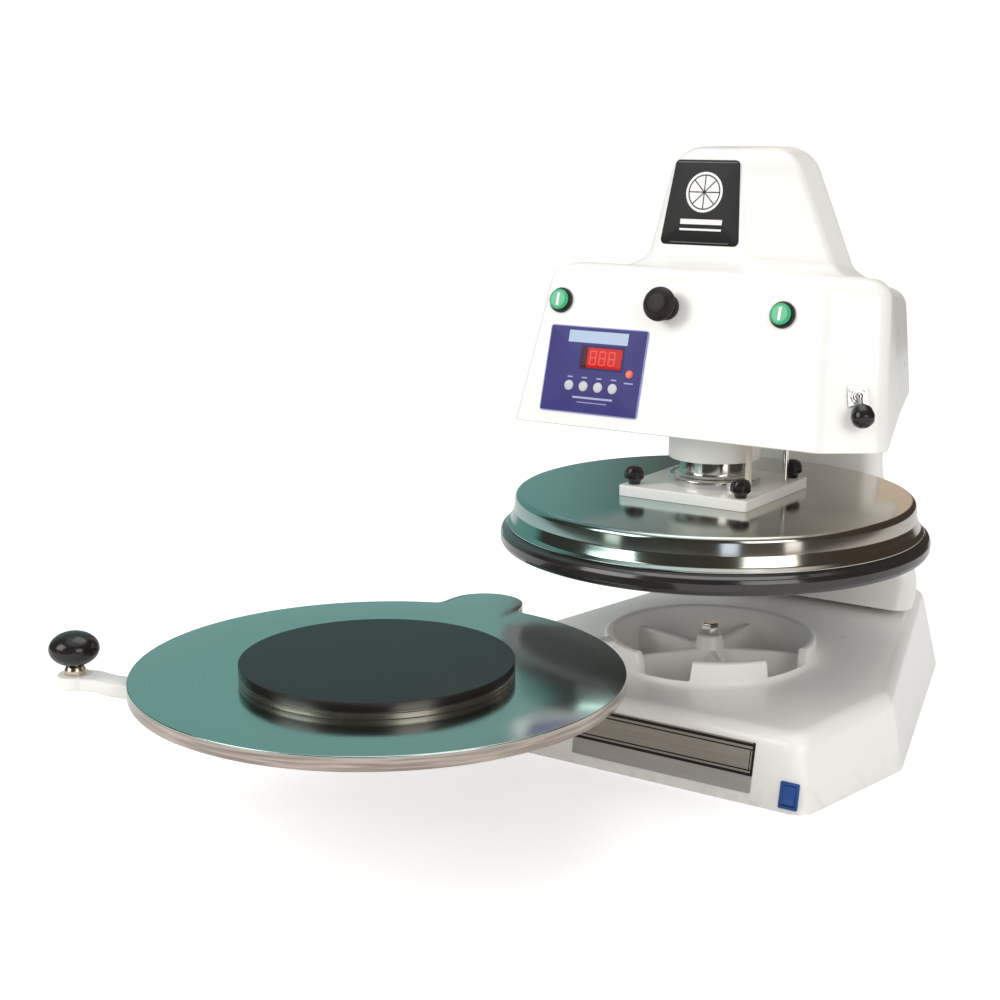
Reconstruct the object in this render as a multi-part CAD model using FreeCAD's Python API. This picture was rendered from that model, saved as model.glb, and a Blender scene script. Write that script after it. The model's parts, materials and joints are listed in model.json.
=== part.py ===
import FreeCAD, Part
import math
import os

# Pizza dough press with a heated upper platen and a swing-out lower platen.
# Millimetres, +Z up. The origin is the press axis on the ground, +X to the right, +Y to the rear.

V = FreeCAD.Vector
UP = V(0, 0, 1)

# Running and seating clearances
SEAT_GAP = 0.3
BUSH_CLEARANCE = 0.05
SLIDE_CLEARANCE = 0.06
HOLE_FIT = 0.2

# Base casting
BASE_FRONT_Y = -212.0
BASE_FRONT_HALF = 224.0
BASE_WIDEST_Y = -23.0
BASE_WIDEST_HALF = 258.0
BASE_REAR_Y = 392.0
BASE_REAR_HALF = 147.0
BASE_FRONT_TOP_Z = 80.0
BASE_REAR_TOP_Z = 110.0
BASE_FRONT_LEAN = 0.2126
BASE_SIDE_DRAFT = 0.176
BASE_EDGE_R = 16.0
BASE_CORNER_R = 22.0
BASE_WALL = 7.0
BOTTOM_COVER_T = 3.0

# Pedestal ring in the middle of the base
RING_OD = 254.0
RING_WALL = 11.0
RING_TOP_Z = 115.0
RING_FLOOR_Z = 44.0
RIB_T = 9.0
RIB_COUNT = 5
RIB_FIRST_DEG = 20.0
NOTCHED_BAYS = (3, 4)
PIVOT_WEB_T = 26.0
PIVOT_WEB_DROP = 12.0
PILLAR_FOOT_R = 30.0
PILLAR_TOP_R = 14.5
RIB_DROP = 16.0
PILLAR_TOP_Z = 112.0
NOTCH_DEPTH = 27.6
NOTCH_WIDTH = 62.0

# Column between base and head
THROAT_GAP = 10.5
COLUMN_REAR_Y = 366.0
COLUMN_HALF = 101.0
COLUMN_REAR_HALF = 66.0
COLUMN_FLARE = 66.0
COLUMN_WALL = 8.0
COLUMN_CORNER_R = 20.0
COLUMN_NECK_DROP = 90.0
COLUMN_TOE = 38.0
COLUMN_TOE_H = 44.0
COLUMN_RISES = (0.0, 6.0, 14.0, 24.0, 38.0, 60.0, 85.0, 110.0, 135.0, 168.0)
COLUMN_END_T = 12.0
COLUMN_PASSAGE_R = 14.0
COLUMN_BOLT_R = 5.3
COLUMN_BOLT_AF = 17.0
COLUMN_BOLT_HEAD = 7.0

# Head casting and covers
HEAD_BOTTOM_Z = 368.0
HEAD_TOP_Z = 556.0
HEAD_FRONT_Y = -101.0
HEAD_LEAN = 0.28
HEAD_TOP_SLOPE = 0.125
HEAD_LEFT_X = -221.0
HEAD_FLAT_RIGHT_X = 175.0
HEAD_FACET_X = 236.0
HEAD_FACET_Y = -57.0
HEAD_WAIST_Y = 200.0
HEAD_WAIST_HALF = 150.0
HEAD_REAR_Y = 384.0
HEAD_REAR_HALF = 92.0
HEAD_SIDE_DRAFT = 0.125
HEAD_CORNER_R = 14.0
HEAD_EDGE_R = 22.0
VENT_COUNT = 5
VENT_PITCH = 12.0
VENT_SLOT = 5.0
VENT_HALF_W = 38.0
VENT_FIRST_Z = 398.0
COVER_WALL = 3.0
EDGE_STEPS = 5
FLARE_STEPS = 4
HEAD_PLATE_T = 14.0

# Tower cover on top of the head
TOWER_TOP_Z = 688.0
TOWER_FRONT_Y = -6.0
TOWER_FRONT_LEFT = -96.0
TOWER_FRONT_RIGHT = 38.0
TOWER_LEFT_X = -110.0
TOWER_RIGHT_X = 113.0
TOWER_SHOULDER_Y = 64.0
TOWER_FLANK_REAR_Y = 118.0
TOWER_REAR_Y = 192.0
TOWER_REAR_HALF = 56.0
TOWER_LEAN = 0.2
TOWER_DRAFT = 0.42
TOWER_FRONT_DRAFT = 0.2
TOWER_FLARE = 18.0
TOWER_CORNER_R = 12.0
TOWER_EDGE_R = 26.0
TOWER_SEAT_W = 14.0

# Press axis: air cylinder, ram and upper platen
BOSS_OD = 109.0
BOSS_BOTTOM_Z = 331.0
RAM_OD = 81.0
RAM_BUSH_WALL = 5.0
CYLINDER_OD = 116.0
CYLINDER_BORE = 100.0
CYLINDER_TOP_Z = 470.0
CYLINDER_CAP_T = 14.0
CAP_CORNER_R = 22.0
TIE_ROD_R = 4.0
PISTON_T = 16.0
PISTON_GAP = 4.0
PRESS_TRAVEL = 38.0
RAM_FLANGE_OD = 110.0
RAM_FLANGE_T = 10.0
PLATE_SIDE = 166.0
PLATE_T = 13.0
PLATE_CORNER_R = 4.0
COVER_TOP_Z = 288.0
COVER_SKIRT_Z = 252.0
COVER_SHEET = 2.0
GUARD_BOTTOM_Z = 227.0
GUARD_TOP_Z = 253.0
HEATED_OD = 457.0
COVER_OVERHANG = 6.5
SKIRT_SPREAD = 6.0
GUARD_BAND = 25.0
HEATED_FACE_Z = 232.0
HEATED_T = 20.0
ELEMENT_RING_R = 150.0
ELEMENT_R = 5.0
KNOB_OFFSET = 69.0
KNOB_R = 12.0
KNOB_H = 22.0
STUD_R = 4.0
STUD_SHOULDER_R = 9.0
GUIDE_X = 73.0
GUIDE_Y = 40.0
GUIDE_R = 3.5
GUIDE_BUSH_WALL = 3.5
CONDUIT_X = 60.0
CONDUIT_Y = -32.0
CONDUIT_R = 4.0
GROMMET_WALL = 3.5

# Swing-out lower platen
PIVOT_X = -186.0
PIVOT_Y = -211.5
SHAFT_R = 15.0
BUSH_WALL = 4.0
PIVOT_BOSS_R = 47.0
PIVOT_BOSS_TOP_Z = 128.0
THRUST_WASHER_T = 2.0
THRUST_WASHER_R = 34.0
HUB_R = 44.0
PLATEN_X = -138.0
PLATEN_Y = -472.0
PLATEN_OD = 508.0
PLATEN_TOP_Z = 170.0
PLATEN_T = 15.0
EAR_R = 46.0
MOULD_X = -128.0
MOULD_Y = -487.0
MOULD_OD = 280.0
MOULD_T = 17.0
ARM_T = 14.0
ARM_HALF = 27.0
ARM_DISC_R = 62.0
PAD_R = 30.0
PAD_DROP = 13.0
HANDLE_X = -399.0
HANDLE_Y = -644.0
HANDLE_BOSS_R = 19.0
HANDLE_RISE = 8.0
FERRULE_R = 11.0
FERRULE_H = 9.0
HANDLE_KNOB_R = 26.0
HANDLE_KNOB_H = 36.0

# Controls on the head
GREEN_LEFT_X = -176.0
GREEN_RIGHT_X = 110.0
BUTTON_ROW_Z = 510.0
STOP_X = -34.0
GREEN_CAP_R = 12.0
GREEN_STEM_R = 5.0
BEZEL_R = 15.0
BEZEL_H = 5.0
BEZEL_FLOOR = 2.0
BARREL_DEPTH = 22.0
BUTTON_TRAVEL = 3.0
CAP_PROUD = 5.0
PANEL_HOLE_R = 11.0
CONTACT_BLOCK_DEPTH = 22.0
CONTACT_BLOCK_W = 22.0
MUSHROOM_R = 20.0
MUSHROOM_STEM_R = 9.0
MUSHROOM_STEM_H = 17.0
MUSHROOM_CAP_H = 13.0
PANEL_LEFT_X = -184.0
PANEL_RIGHT_X = -52.0
PANEL_LOW_Z = 383.0
PANEL_HIGH_Z = 482.0
PANEL_T = 1.6
DISPLAY_X = -109.0
DISPLAY_Z = 447.0
DISPLAY_W = 54.0
DISPLAY_H = 24.0
LED_X = -69.5
LED_Z = 432.0
LED_R = 5.0
KEY_FIRST_X = -148.0
KEY_PITCH = 19.7
KEY_COUNT = 4
KEY_Z = 414.0
KEY_R = 6.0
KEY_TRAVEL = 0.8
BOARD_DEPTH = 12.0
BOARD_MARGIN = 5.0
VALVE_Z = 427.0
VALVE_ALONG = 0.53
VALVE_BUSH_R = 6.0
VALVE_PLATE = 23.0
VALVE_PLATE_T = 2.3
LEVER_R = 2.6
LEVER_BALL_Z = 9.6
LEVER_PIN_R = 1.2
LEVER_PIN_REACH = 5.0
LEVER_TILT = 65.0
LEVER_REACH = 26.0
LEVER_KNOB_R = 13.0
KNOB_BACK = 8.0
BADGE_X = -27.0
BADGE_LOW_Z = 577.0
BADGE_HIGH_Z = 674.0
BADGE_BOTTOM_W = 102.0
BADGE_TOP_W = 82.0
BADGE_T = 1.2

# Pieces on the base
LABEL_LEFT_X = -65.0
LABEL_RIGHT_X = 159.0
LABEL_LOW_Z = 12.0
LABEL_HIGH_Z = 66.0
LABEL_T = 1.2
ROCKER_X = 204.0
ROCKER_Z = 19.0
ROCKER_W = 15.0
ROCKER_H = 20.0
ROCKER_BODY_W = 18.0
ROCKER_BODY_H = 24.6
ROCKER_BEZEL_W = 22.0
ROCKER_BEZEL_H = 29.0
ROCKER_BEZEL_T = 2.0
ROCKER_SWING = 12.0
ROCKER_DEPTH = 15.0
ROCKER_PIN_R = 1.5
INLET_X = -62.0
AIR_X = 62.0
REAR_FITTINGS_Z = 46.0
INLET_FLANGE_W = 48.0
INLET_FLANGE_H = 28.0
INLET_BODY_W = 26.8
INLET_BODY_H = 19.2
INLET_WALL = 3.0
AIR_BODY_R = 8.0
AIR_PORT_R = 5.7
AIR_PORT_LENGTH = 14.0


def polar(radius, degrees):
    angle = math.radians(degrees)
    return radius * math.cos(angle), radius * math.sin(angle)


def inset_outline(points, inset):
    """Moves every side of a convex counter-clockwise outline inwards."""
    count = len(points)
    sides = []
    for i in range(count):
        ax, ay = points[i]
        bx, by = points[(i + 1) % count]
        length = math.hypot(bx - ax, by - ay)
        dx = (bx - ax) / length
        dy = (by - ay) / length
        sides.append((ax - dy * inset, ay + dx * inset, dx, dy))
    moved = []
    for i in range(count):
        px, py, pdx, pdy = sides[i - 1]
        qx, qy, qdx, qdy = sides[i]
        along = ((qx - px) * qdy - (qy - py) * qdx) / (pdx * qdy - pdy * qdx)
        moved.append((px + pdx * along, py + pdy * along))
    return moved


def rounded_wire(corners, radius):
    """Closed flat wire of straight sides joined by tangent arcs at its corners."""
    count = len(corners)
    edges = []
    arcs = []
    for i in range(count):
        here = corners[i]
        back = corners[i - 1] - here
        ahead = corners[(i + 1) % count] - here
        room = 0.45 * min(back.Length, ahead.Length)
        back = back.normalize()
        ahead = ahead.normalize()
        half_turn = (math.pi - back.getAngle(ahead)) / 2
        reach = min(radius * math.tan(half_turn), room)
        arc_r = reach / math.tan(half_turn)
        middle = (back + ahead).normalize() * (math.hypot(arc_r, reach) - arc_r)
        arcs.append((here + back * reach, here + middle, here + ahead * reach))
    for i in range(count):
        start, middle, end = arcs[i]
        edges.append(Part.Arc(start, middle, end).toShape())
        edges.append(Part.LineSegment(end, arcs[(i + 1) % count][0]).toShape())
    return Part.Wire(edges)


def flat_wire(points, z, radius):
    return rounded_wire([V(x, y, z) for x, y in points], radius)


def prism(points, radius, z_low, z_high):
    face = Part.Face(flat_wire(points, z_low, radius))
    return face.extrude(UP * (z_high - z_low))


def box(x_low, x_high, y_low, y_high, z_low, z_high):
    return Part.makeBox(x_high - x_low, y_high - y_low, z_high - z_low, V(x_low, y_low, z_low))


def rod(radius, z_low, z_high, x=0.0, y=0.0):
    return Part.makeCylinder(radius, z_high - z_low, V(x, y, z_low))


def tube(outer, inner, z_low, z_high, x=0.0, y=0.0):
    return rod(outer, z_low, z_high, x, y).cut(rod(inner, z_low, z_high, x, y))


def turned(profile, x=0.0, y=0.0):
    """Turns a closed (radius, height) profile about a vertical axis."""
    points = [V(x + r, y, z) for r, z in profile]
    face = Part.Face(Part.makePolygon(points + [points[0]]))
    return face.revolve(V(x, y, 0), UP, 360)


def loft(wires):
    return Part.makeLoft(wires, True, True)


def placed(shape, frame):
    moved = shape.copy()
    moved.Placement = frame.multiply(shape.Placement)
    return moved


def hexagon(across, z_low, z_high, x=0.0, y=0.0):
    corner = across / math.sqrt(3)
    points = [(x + polar(corner, 60 * i)[0], y + polar(corner, 60 * i)[1]) for i in range(6)]
    return prism(points, 0.4, z_low, z_high)


def write(node, shape):
    solids = shape.Solids
    merged = solids[0] if len(solids) == 1 else Part.makeCompound(solids)
    merged.exportStep("parts/" + node + ".step")


# Sizes that follow from the ones above
COVER_TOP_R = HEATED_OD / 2 + COVER_OVERHANG
COVER_SKIRT_R = COVER_TOP_R + SKIRT_SPREAD
GUARD_R = HEATED_OD / 2 + GUARD_BAND
COLUMN_FRONT_Y = GUARD_R + THROAT_GAP
HEAD_PLATE_TOP_Z = HEAD_BOTTOM_Z + HEAD_PLATE_T
HEAD_TOP_Y = HEAD_FRONT_Y + HEAD_LEAN * (HEAD_TOP_Z - HEAD_BOTTOM_Z)
CAP_LOW_Z = CYLINDER_TOP_Z - CYLINDER_CAP_T
PLATE_BOTTOM_Z = COVER_TOP_Z
PLATE_TOP_Z = COVER_TOP_Z + PLATE_T
PISTON_Z = CAP_LOW_Z - PISTON_T - PISTON_GAP
GUIDE_BUSH_R = GUIDE_R + GUIDE_BUSH_WALL
GROMMET_R = CONDUIT_R + GROMMET_WALL

# Base outline: a straight front, sides that widen to BASE_WIDEST_Y and taper to the rear
BASE_OUTLINE = [
    (-BASE_FRONT_HALF, BASE_FRONT_Y),
    (BASE_FRONT_HALF, BASE_FRONT_Y),
    (BASE_WIDEST_HALF, BASE_WIDEST_Y),
    (BASE_REAR_HALF, BASE_REAR_Y),
    (-BASE_REAR_HALF, BASE_REAR_Y),
    (-BASE_WIDEST_HALF, BASE_WIDEST_Y),
]
BASE_SLOPE = (BASE_REAR_TOP_Z - BASE_FRONT_TOP_Z) / (BASE_REAR_Y - BASE_FRONT_Y)


def base_section(inset, drop):
    """Corners of the base outline where its walls meet the sloping top, lowered by drop."""
    corners = []
    level = BASE_FRONT_TOP_Z - BASE_SLOPE * BASE_FRONT_Y - drop
    for x, y in inset_outline(BASE_OUTLINE, inset):
        lean = BASE_FRONT_LEAN if y < BASE_WIDEST_Y - 1 else 0.0
        if y > BASE_WIDEST_Y + 1:
            lean = -BASE_SIDE_DRAFT
        z = (level + BASE_SLOPE * y) / (1 - BASE_SLOPE * lean)
        corners.append(V(x - math.copysign(BASE_SIDE_DRAFT * z, x), y + lean * z, z))
    return corners


def base_body(wall, z_low):
    """Tapering body with a sloping top and a rounded top edge, inset by wall."""
    wires = [flat_wire(inset_outline(BASE_OUTLINE, wall), z_low, BASE_CORNER_R - wall)]
    edge_r = BASE_EDGE_R - wall
    steps = 4
    for step in range(steps + 1):
        angle = math.pi / 2 * step / steps
        inset = wall + edge_r * (1 - math.cos(angle))
        drop = wall + edge_r * (1 - math.sin(angle))
        wires.append(rounded_wire(base_section(inset, drop), BASE_CORNER_R - wall))
    return loft(wires)


def column_outline(z, inset):
    """Column section: a trapezoid that flares towards the base."""
    foot = BASE_REAR_TOP_Z
    neck = HEAD_BOTTOM_Z - COLUMN_NECK_DROP
    share = min(max((z - foot) / (neck - foot), 0.0), 1.0)
    flare = COLUMN_FLARE * 0.5 * (1 + math.cos(math.pi * share))
    forward = COLUMN_TOE * (1 - min((z - foot) / COLUMN_TOE_H, 1.0)) ** 2
    half = COLUMN_HALF + flare
    rear_half = COLUMN_REAR_HALF + 0.8 * flare
    front = COLUMN_FRONT_Y - forward
    points = [(-half, front), (half, front), (rear_half, COLUMN_REAR_Y), (-rear_half, COLUMN_REAR_Y)]
    return inset_outline(points, inset)


def column_body(inset, z_low, z_high):
    wires = []
    levels = [BASE_REAR_TOP_Z + rise for rise in COLUMN_RISES] + [HEAD_BOTTOM_Z]
    for z in levels:
        wires.append(flat_wire(column_outline(z, inset), z, COLUMN_CORNER_R))
    body = loft(wires)
    room = 2 * BASE_REAR_Y
    return body.common(box(-room, room, 0, room, z_low, z_high))


def pivot_web():
    """Web that ties the pivot boss to the pedestal ring."""
    reach = math.hypot(PIVOT_X, PIVOT_Y)
    angle = math.degrees(math.atan2(PIVOT_Y, PIVOT_X))
    half = PIVOT_WEB_T / 2
    web = box(RING_OD / 2 - 6, reach, -half, half, RING_FLOOR_Z, PIVOT_BOSS_TOP_Z - PIVOT_WEB_DROP)
    web.rotate(V(0, 0, 0), UP, angle)
    return web


def panel_opening(width, height):
    return box(-width / 2, width / 2, -height / 2, height / 2, -30, 10)


def base_casting():
    shell = base_body(0.0, 0.0).cut(base_body(BASE_WALL, -1.0))
    pad_outline = column_outline(BASE_REAR_TOP_Z, -6.0)
    pad = prism(pad_outline, COLUMN_CORNER_R, BASE_REAR_TOP_Z - 16, BASE_REAR_TOP_Z)
    shell = shell.fuse(pad)
    shell = shell.cut(rod(RING_OD / 2 - 1, RING_FLOOR_Z - BASE_WALL, RING_TOP_Z + 10))
    ring = tube(RING_OD / 2, RING_OD / 2 - RING_WALL, RING_FLOOR_Z - BASE_WALL, RING_TOP_Z)
    floor = rod(RING_OD / 2 - RING_WALL + 1, RING_FLOOR_Z - BASE_WALL, RING_FLOOR_Z)
    foot = RING_FLOOR_Z - 1
    pillar = turned([(0, foot), (PILLAR_FOOT_R, foot), (PILLAR_TOP_R, PILLAR_TOP_Z), (0, PILLAR_TOP_Z)])
    well = [ring, floor, pillar, pivot_web(), rod(PIVOT_BOSS_R, 0, PIVOT_BOSS_TOP_Z, PIVOT_X, PIVOT_Y)]
    for i in range(RIB_COUNT):
        rib = box(PILLAR_TOP_R - 2, RING_OD / 2 - RING_WALL + 2, -RIB_T / 2, RIB_T / 2,
                  foot, PILLAR_TOP_Z - RIB_DROP)
        rib.rotate(V(0, 0, 0), UP, RIB_FIRST_DEG + 360 / RIB_COUNT * i)
        well.append(rib)
    casting = shell.multiFuse(well)
    for bay in NOTCHED_BAYS:
        notch = box(RING_OD / 2 - RING_WALL - 2, RING_OD / 2 + 3, -NOTCH_WIDTH / 2, NOTCH_WIDTH / 2,
                    RING_TOP_Z - NOTCH_DEPTH, RING_TOP_Z + 5)
        notch.rotate(V(0, 0, 0), UP, RIB_FIRST_DEG + 360 / RIB_COUNT * (bay + 0.5))
        casting = casting.cut(notch)
    shaft_bore = rod(SHAFT_R, 20, PIVOT_BOSS_TOP_Z + 1, PIVOT_X, PIVOT_Y)
    bolt_bore = rod(6.0, RING_FLOOR_Z + 8, PILLAR_TOP_Z + 1)
    casting = casting.cut(shaft_bore).cut(bolt_bore)
    opening = panel_opening(ROCKER_BODY_W + 2 * HOLE_FIT, ROCKER_BODY_H + 2 * HOLE_FIT)
    casting = casting.cut(placed(opening, base_front_frame(ROCKER_X, ROCKER_Z)))
    opening = panel_opening(INLET_BODY_W + 2 * SEAT_GAP, INLET_BODY_H + 2 * SEAT_GAP)
    casting = casting.cut(placed(opening, base_rear_frame(INLET_X)))
    casting = casting.cut(placed(rod(AIR_BODY_R + SEAT_GAP, -30, 10), base_rear_frame(AIR_X)))
    return casting


def bottom_cover():
    room = 2 * BASE_REAR_Y
    plate = base_body(BASE_WALL + SEAT_GAP, -1.0).common(box(-room, room, -room, room, 0, BOTTOM_COVER_T))
    return plate.cut(rod(PIVOT_BOSS_R + SEAT_GAP, -1, BOTTOM_COVER_T + 1, PIVOT_X, PIVOT_Y))


def column_casting():
    outer = column_body(0.0, BASE_REAR_TOP_Z, HEAD_BOTTOM_Z)
    inner = column_body(COLUMN_WALL, BASE_REAR_TOP_Z + COLUMN_END_T, HEAD_BOTTOM_Z - COLUMN_END_T)
    shell = outer.cut(inner)
    for z in (BASE_REAR_TOP_Z, HEAD_BOTTOM_Z):
        for x, y in column_bolt_places():
            shell = shell.cut(rod(COLUMN_BOLT_R + HOLE_FIT, z - COLUMN_END_T - 1, z + COLUMN_END_T + 1, x, y))
    passage_y = (COLUMN_FRONT_Y + COLUMN_REAR_Y) / 2
    return shell.cut(rod(COLUMN_PASSAGE_R, BASE_REAR_TOP_Z - 1, HEAD_BOTTOM_Z + 1, 0, passage_y))


def column_bolt_places():
    inset = 24.0
    front = COLUMN_FRONT_Y + inset
    rear = COLUMN_REAR_Y - inset
    half = COLUMN_HALF - inset - 14
    rear_half = COLUMN_REAR_HALF - inset + 6
    return [(-half, front), (half, front), (-rear_half, rear), (rear_half, rear)]


def hex_bolt(across, head_h, shank_r, length, x, y, z):
    """Bolt with its head above z and its shank below."""
    return hexagon(across, z, z + head_h, x, y).fuse(rod(shank_r, z - length, z + 0.5, x, y))


def column_bolts():
    bolts = []
    for x, y in column_bolt_places():
        length = HEAD_PLATE_T + COLUMN_END_T - 2
        bolts.append(hex_bolt(COLUMN_BOLT_AF, COLUMN_BOLT_HEAD, COLUMN_BOLT_R, length, x, y, HEAD_PLATE_TOP_Z))
    return Part.makeCompound(bolts)


def head_outline(z):
    """Head section: a flat front, a facet at the right front corner, sides drawn in to the rear."""
    rise = z - HEAD_BOTTOM_Z
    lean = HEAD_LEAN * rise
    draft = HEAD_SIDE_DRAFT * rise
    return [
        (HEAD_LEFT_X + draft, HEAD_FRONT_Y + lean),
        (HEAD_FLAT_RIGHT_X - 0.8 * draft, HEAD_FRONT_Y + lean),
        (HEAD_FACET_X - draft, HEAD_FACET_Y + lean),
        (HEAD_WAIST_HALF - draft, HEAD_WAIST_Y),
        (HEAD_REAR_HALF - 0.5 * draft, HEAD_REAR_Y - 0.5 * draft),
        (-HEAD_REAR_HALF + 0.5 * draft, HEAD_REAR_Y - 0.5 * draft),
        (-HEAD_WAIST_HALF + draft, HEAD_WAIST_Y),
    ]


def head_top_z(y):
    """Height of the head's flat top, which falls towards the rear."""
    return HEAD_TOP_Z - HEAD_TOP_SLOPE * (y - HEAD_TOP_Y)


def tower_outline(z):
    """Tower section: drawn in towards the top, with a right front facet like the head's."""
    rise = z - HEAD_TOP_Z
    draft = TOWER_DRAFT * rise
    front_draft = TOWER_FRONT_DRAFT * rise
    front = TOWER_FRONT_Y + TOWER_LEAN * rise
    return [
        (TOWER_FRONT_LEFT + front_draft, front),
        (TOWER_FRONT_RIGHT - front_draft, front),
        (TOWER_RIGHT_X - draft, TOWER_SHOULDER_Y),
        (TOWER_RIGHT_X - draft, TOWER_FLANK_REAR_Y),
        (TOWER_REAR_HALF - front_draft, TOWER_REAR_Y - front_draft),
        (-TOWER_REAR_HALF + front_draft, TOWER_REAR_Y - front_draft),
        (TOWER_LEFT_X + front_draft, TOWER_FLANK_REAR_Y),
        (TOWER_LEFT_X + front_draft, TOWER_SHOULDER_Y),
    ]


def sloped_wire(outline, inset, rise, radius):
    """Inset section on the plane of the head's sloping top, raised by rise."""
    low = inset_outline(outline(HEAD_BOTTOM_Z), inset)
    high = inset_outline(outline(HEAD_TOP_Z), inset)
    corners = []
    for i in range(len(low)):
        foot = V(low[i][0], low[i][1], HEAD_BOTTOM_Z)
        run = V(high[i][0], high[i][1], HEAD_TOP_Z) - foot
        share = (head_top_z(foot.y) + rise - foot.z) / (run.z + HEAD_TOP_SLOPE * run.y)
        corners.append(foot + run * share)
    return rounded_wire(corners, radius)


def edge_rows(wall, edge_r):
    """Inset and drop of the sections that round a top edge."""
    rows = []
    for step in range(EDGE_STEPS + 1):
        angle = math.pi / 2 * step / EDGE_STEPS
        rows.append((wall + edge_r * (1 - math.cos(angle)), wall + edge_r * (1 - math.sin(angle))))
    return rows


def head_body(wall, z_low):
    """Head form with its rounded top edge, inset by wall."""
    corner_r = HEAD_CORNER_R - wall
    wires = [flat_wire(inset_outline(head_outline(z_low), wall), z_low, corner_r)]
    for inset, drop in edge_rows(wall, HEAD_EDGE_R - wall):
        wires.append(sloped_wire(head_outline, inset, -drop, corner_r))
    return loft(wires)


def tower_body(wall, foot_rise, flare):
    """Tower form on the head's sloping top, inset by wall, with a flared foot where flare is given."""
    corner_r = TOWER_CORNER_R - wall
    wires = []
    for step in range(FLARE_STEPS):
        angle = math.pi / 2 * step / FLARE_STEPS
        spread = flare * (1 - math.sin(angle)) ** 2
        rise = foot_rise + TOWER_FLARE * math.sin(angle)
        wires.append(sloped_wire(tower_outline, wall - spread, rise, corner_r))
    wires.append(sloped_wire(tower_outline, wall, foot_rise + 1.6 * TOWER_FLARE, corner_r))
    for inset, drop in edge_rows(wall, TOWER_EDGE_R - wall):
        z = TOWER_TOP_Z - drop
        wires.append(flat_wire(inset_outline(tower_outline(z), inset), z, corner_r))
    return loft(wires)


HEAD_NORMAL = V(0, -1, HEAD_LEAN).normalize()


def on_front(shape, x, z, depth=0.0):
    """Places a shape drawn with +Z outwards on the leaning front of the head."""
    tilt = 90 - math.degrees(math.atan(HEAD_LEAN))
    y = HEAD_FRONT_Y + HEAD_LEAN * (z - HEAD_BOTTOM_Z)
    spot = V(x, y, z) + HEAD_NORMAL * depth
    return placed(shape, FreeCAD.Placement(spot, FreeCAD.Rotation(V(1, 0, 0), tilt)))


def facet_frame():
    """Spot and turn of the valve on the right front facet of the head."""
    low = head_outline(VALVE_Z)
    ax, ay = low[1]
    bx, by = low[2]
    spot = V(ax + (bx - ax) * VALVE_ALONG, ay + (by - ay) * VALVE_ALONG, VALVE_Z)
    across = V(bx - ax, by - ay, 0).normalize()
    high = head_outline(VALVE_Z + 50)
    up_slope = V(high[1][0] - ax, high[1][1] - ay, 50)
    outward = across.cross(up_slope).normalize()
    upward = outward.cross(across)
    turn = FreeCAD.Rotation(across, upward, outward, "ZXY")
    return FreeCAD.Placement(spot, turn)


def on_facet(shape):
    return placed(shape, facet_frame())


def tower_front_frame(x, z, depth=0.0):
    tilt = 90 - math.degrees(math.atan(TOWER_LEAN))
    y = TOWER_FRONT_Y + TOWER_LEAN * (z - HEAD_TOP_Z)
    normal = V(0, -1, TOWER_LEAN).normalize()
    return FreeCAD.Placement(V(x, y, z) + normal * depth, FreeCAD.Rotation(V(1, 0, 0), tilt))


def base_front_frame(x, z, depth=0.0):
    tilt = 90 - math.degrees(math.atan(BASE_FRONT_LEAN))
    y = BASE_FRONT_Y + BASE_FRONT_LEAN * z
    normal = V(0, -1, BASE_FRONT_LEAN).normalize()
    return FreeCAD.Placement(V(x, y, z) + normal * depth, FreeCAD.Rotation(V(1, 0, 0), tilt))


def base_rear_frame(x):
    tilt = math.degrees(math.atan(BASE_SIDE_DRAFT)) - 90
    y = BASE_REAR_Y - BASE_SIDE_DRAFT * REAR_FITTINGS_Z
    return FreeCAD.Placement(V(x, y, REAR_FITTINGS_Z), FreeCAD.Rotation(V(1, 0, 0), tilt))


def head_shell():
    shell = head_body(0.0, HEAD_BOTTOM_Z).cut(head_body(COVER_WALL, HEAD_BOTTOM_Z - 1))
    low = head_top_z(TOWER_REAR_Y) - HEAD_EDGE_R
    tower_hole = prism(inset_outline(tower_outline(HEAD_TOP_Z), TOWER_SEAT_W), TOWER_CORNER_R, low, HEAD_TOP_Z)
    return shell.cut(tower_hole)


def behind_seam(y_low):
    """Block that holds the whole head behind y_low."""
    room = 2 * BASE_REAR_Y
    return box(-room, room, y_low, y_low + room, 0, 2 * HEAD_TOP_Z)


def head_cover():
    shell = head_shell().cut(behind_seam(HEAD_WAIST_Y - SEAT_GAP))
    for x in (GREEN_LEFT_X, GREEN_RIGHT_X, STOP_X):
        shell = shell.cut(on_front(rod(PANEL_HOLE_R + 0.2, -30, 30), x, BUTTON_ROW_Z))
    window = box(-30, 30, -14, 14, -20, 20)
    shell = shell.cut(on_front(window, DISPLAY_X, DISPLAY_Z))
    shell = shell.cut(on_front(rod(LED_R - 1, -20, 20), LED_X, LED_Z))
    for i in range(KEY_COUNT):
        shell = shell.cut(on_front(rod(KEY_R - 1, -20, 20), KEY_FIRST_X + i * KEY_PITCH, KEY_Z))
    return shell.cut(on_facet(rod(VALVE_BUSH_R + HOLE_FIT, -20, 20)))


def rear_cover():
    shell = head_shell().common(behind_seam(HEAD_WAIST_Y))
    for i in range(VENT_COUNT):
        z = VENT_FIRST_Z + VENT_PITCH * i
        vent = box(-VENT_HALF_W, VENT_HALF_W, HEAD_REAR_Y - 40, HEAD_REAR_Y + 10, z, z + VENT_SLOT)
        shell = shell.cut(vent)
    return shell


def tower_cover():
    return tower_body(0.0, 0.0, TOWER_FLARE).cut(tower_body(COVER_WALL, -1.0, 0.0))


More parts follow.
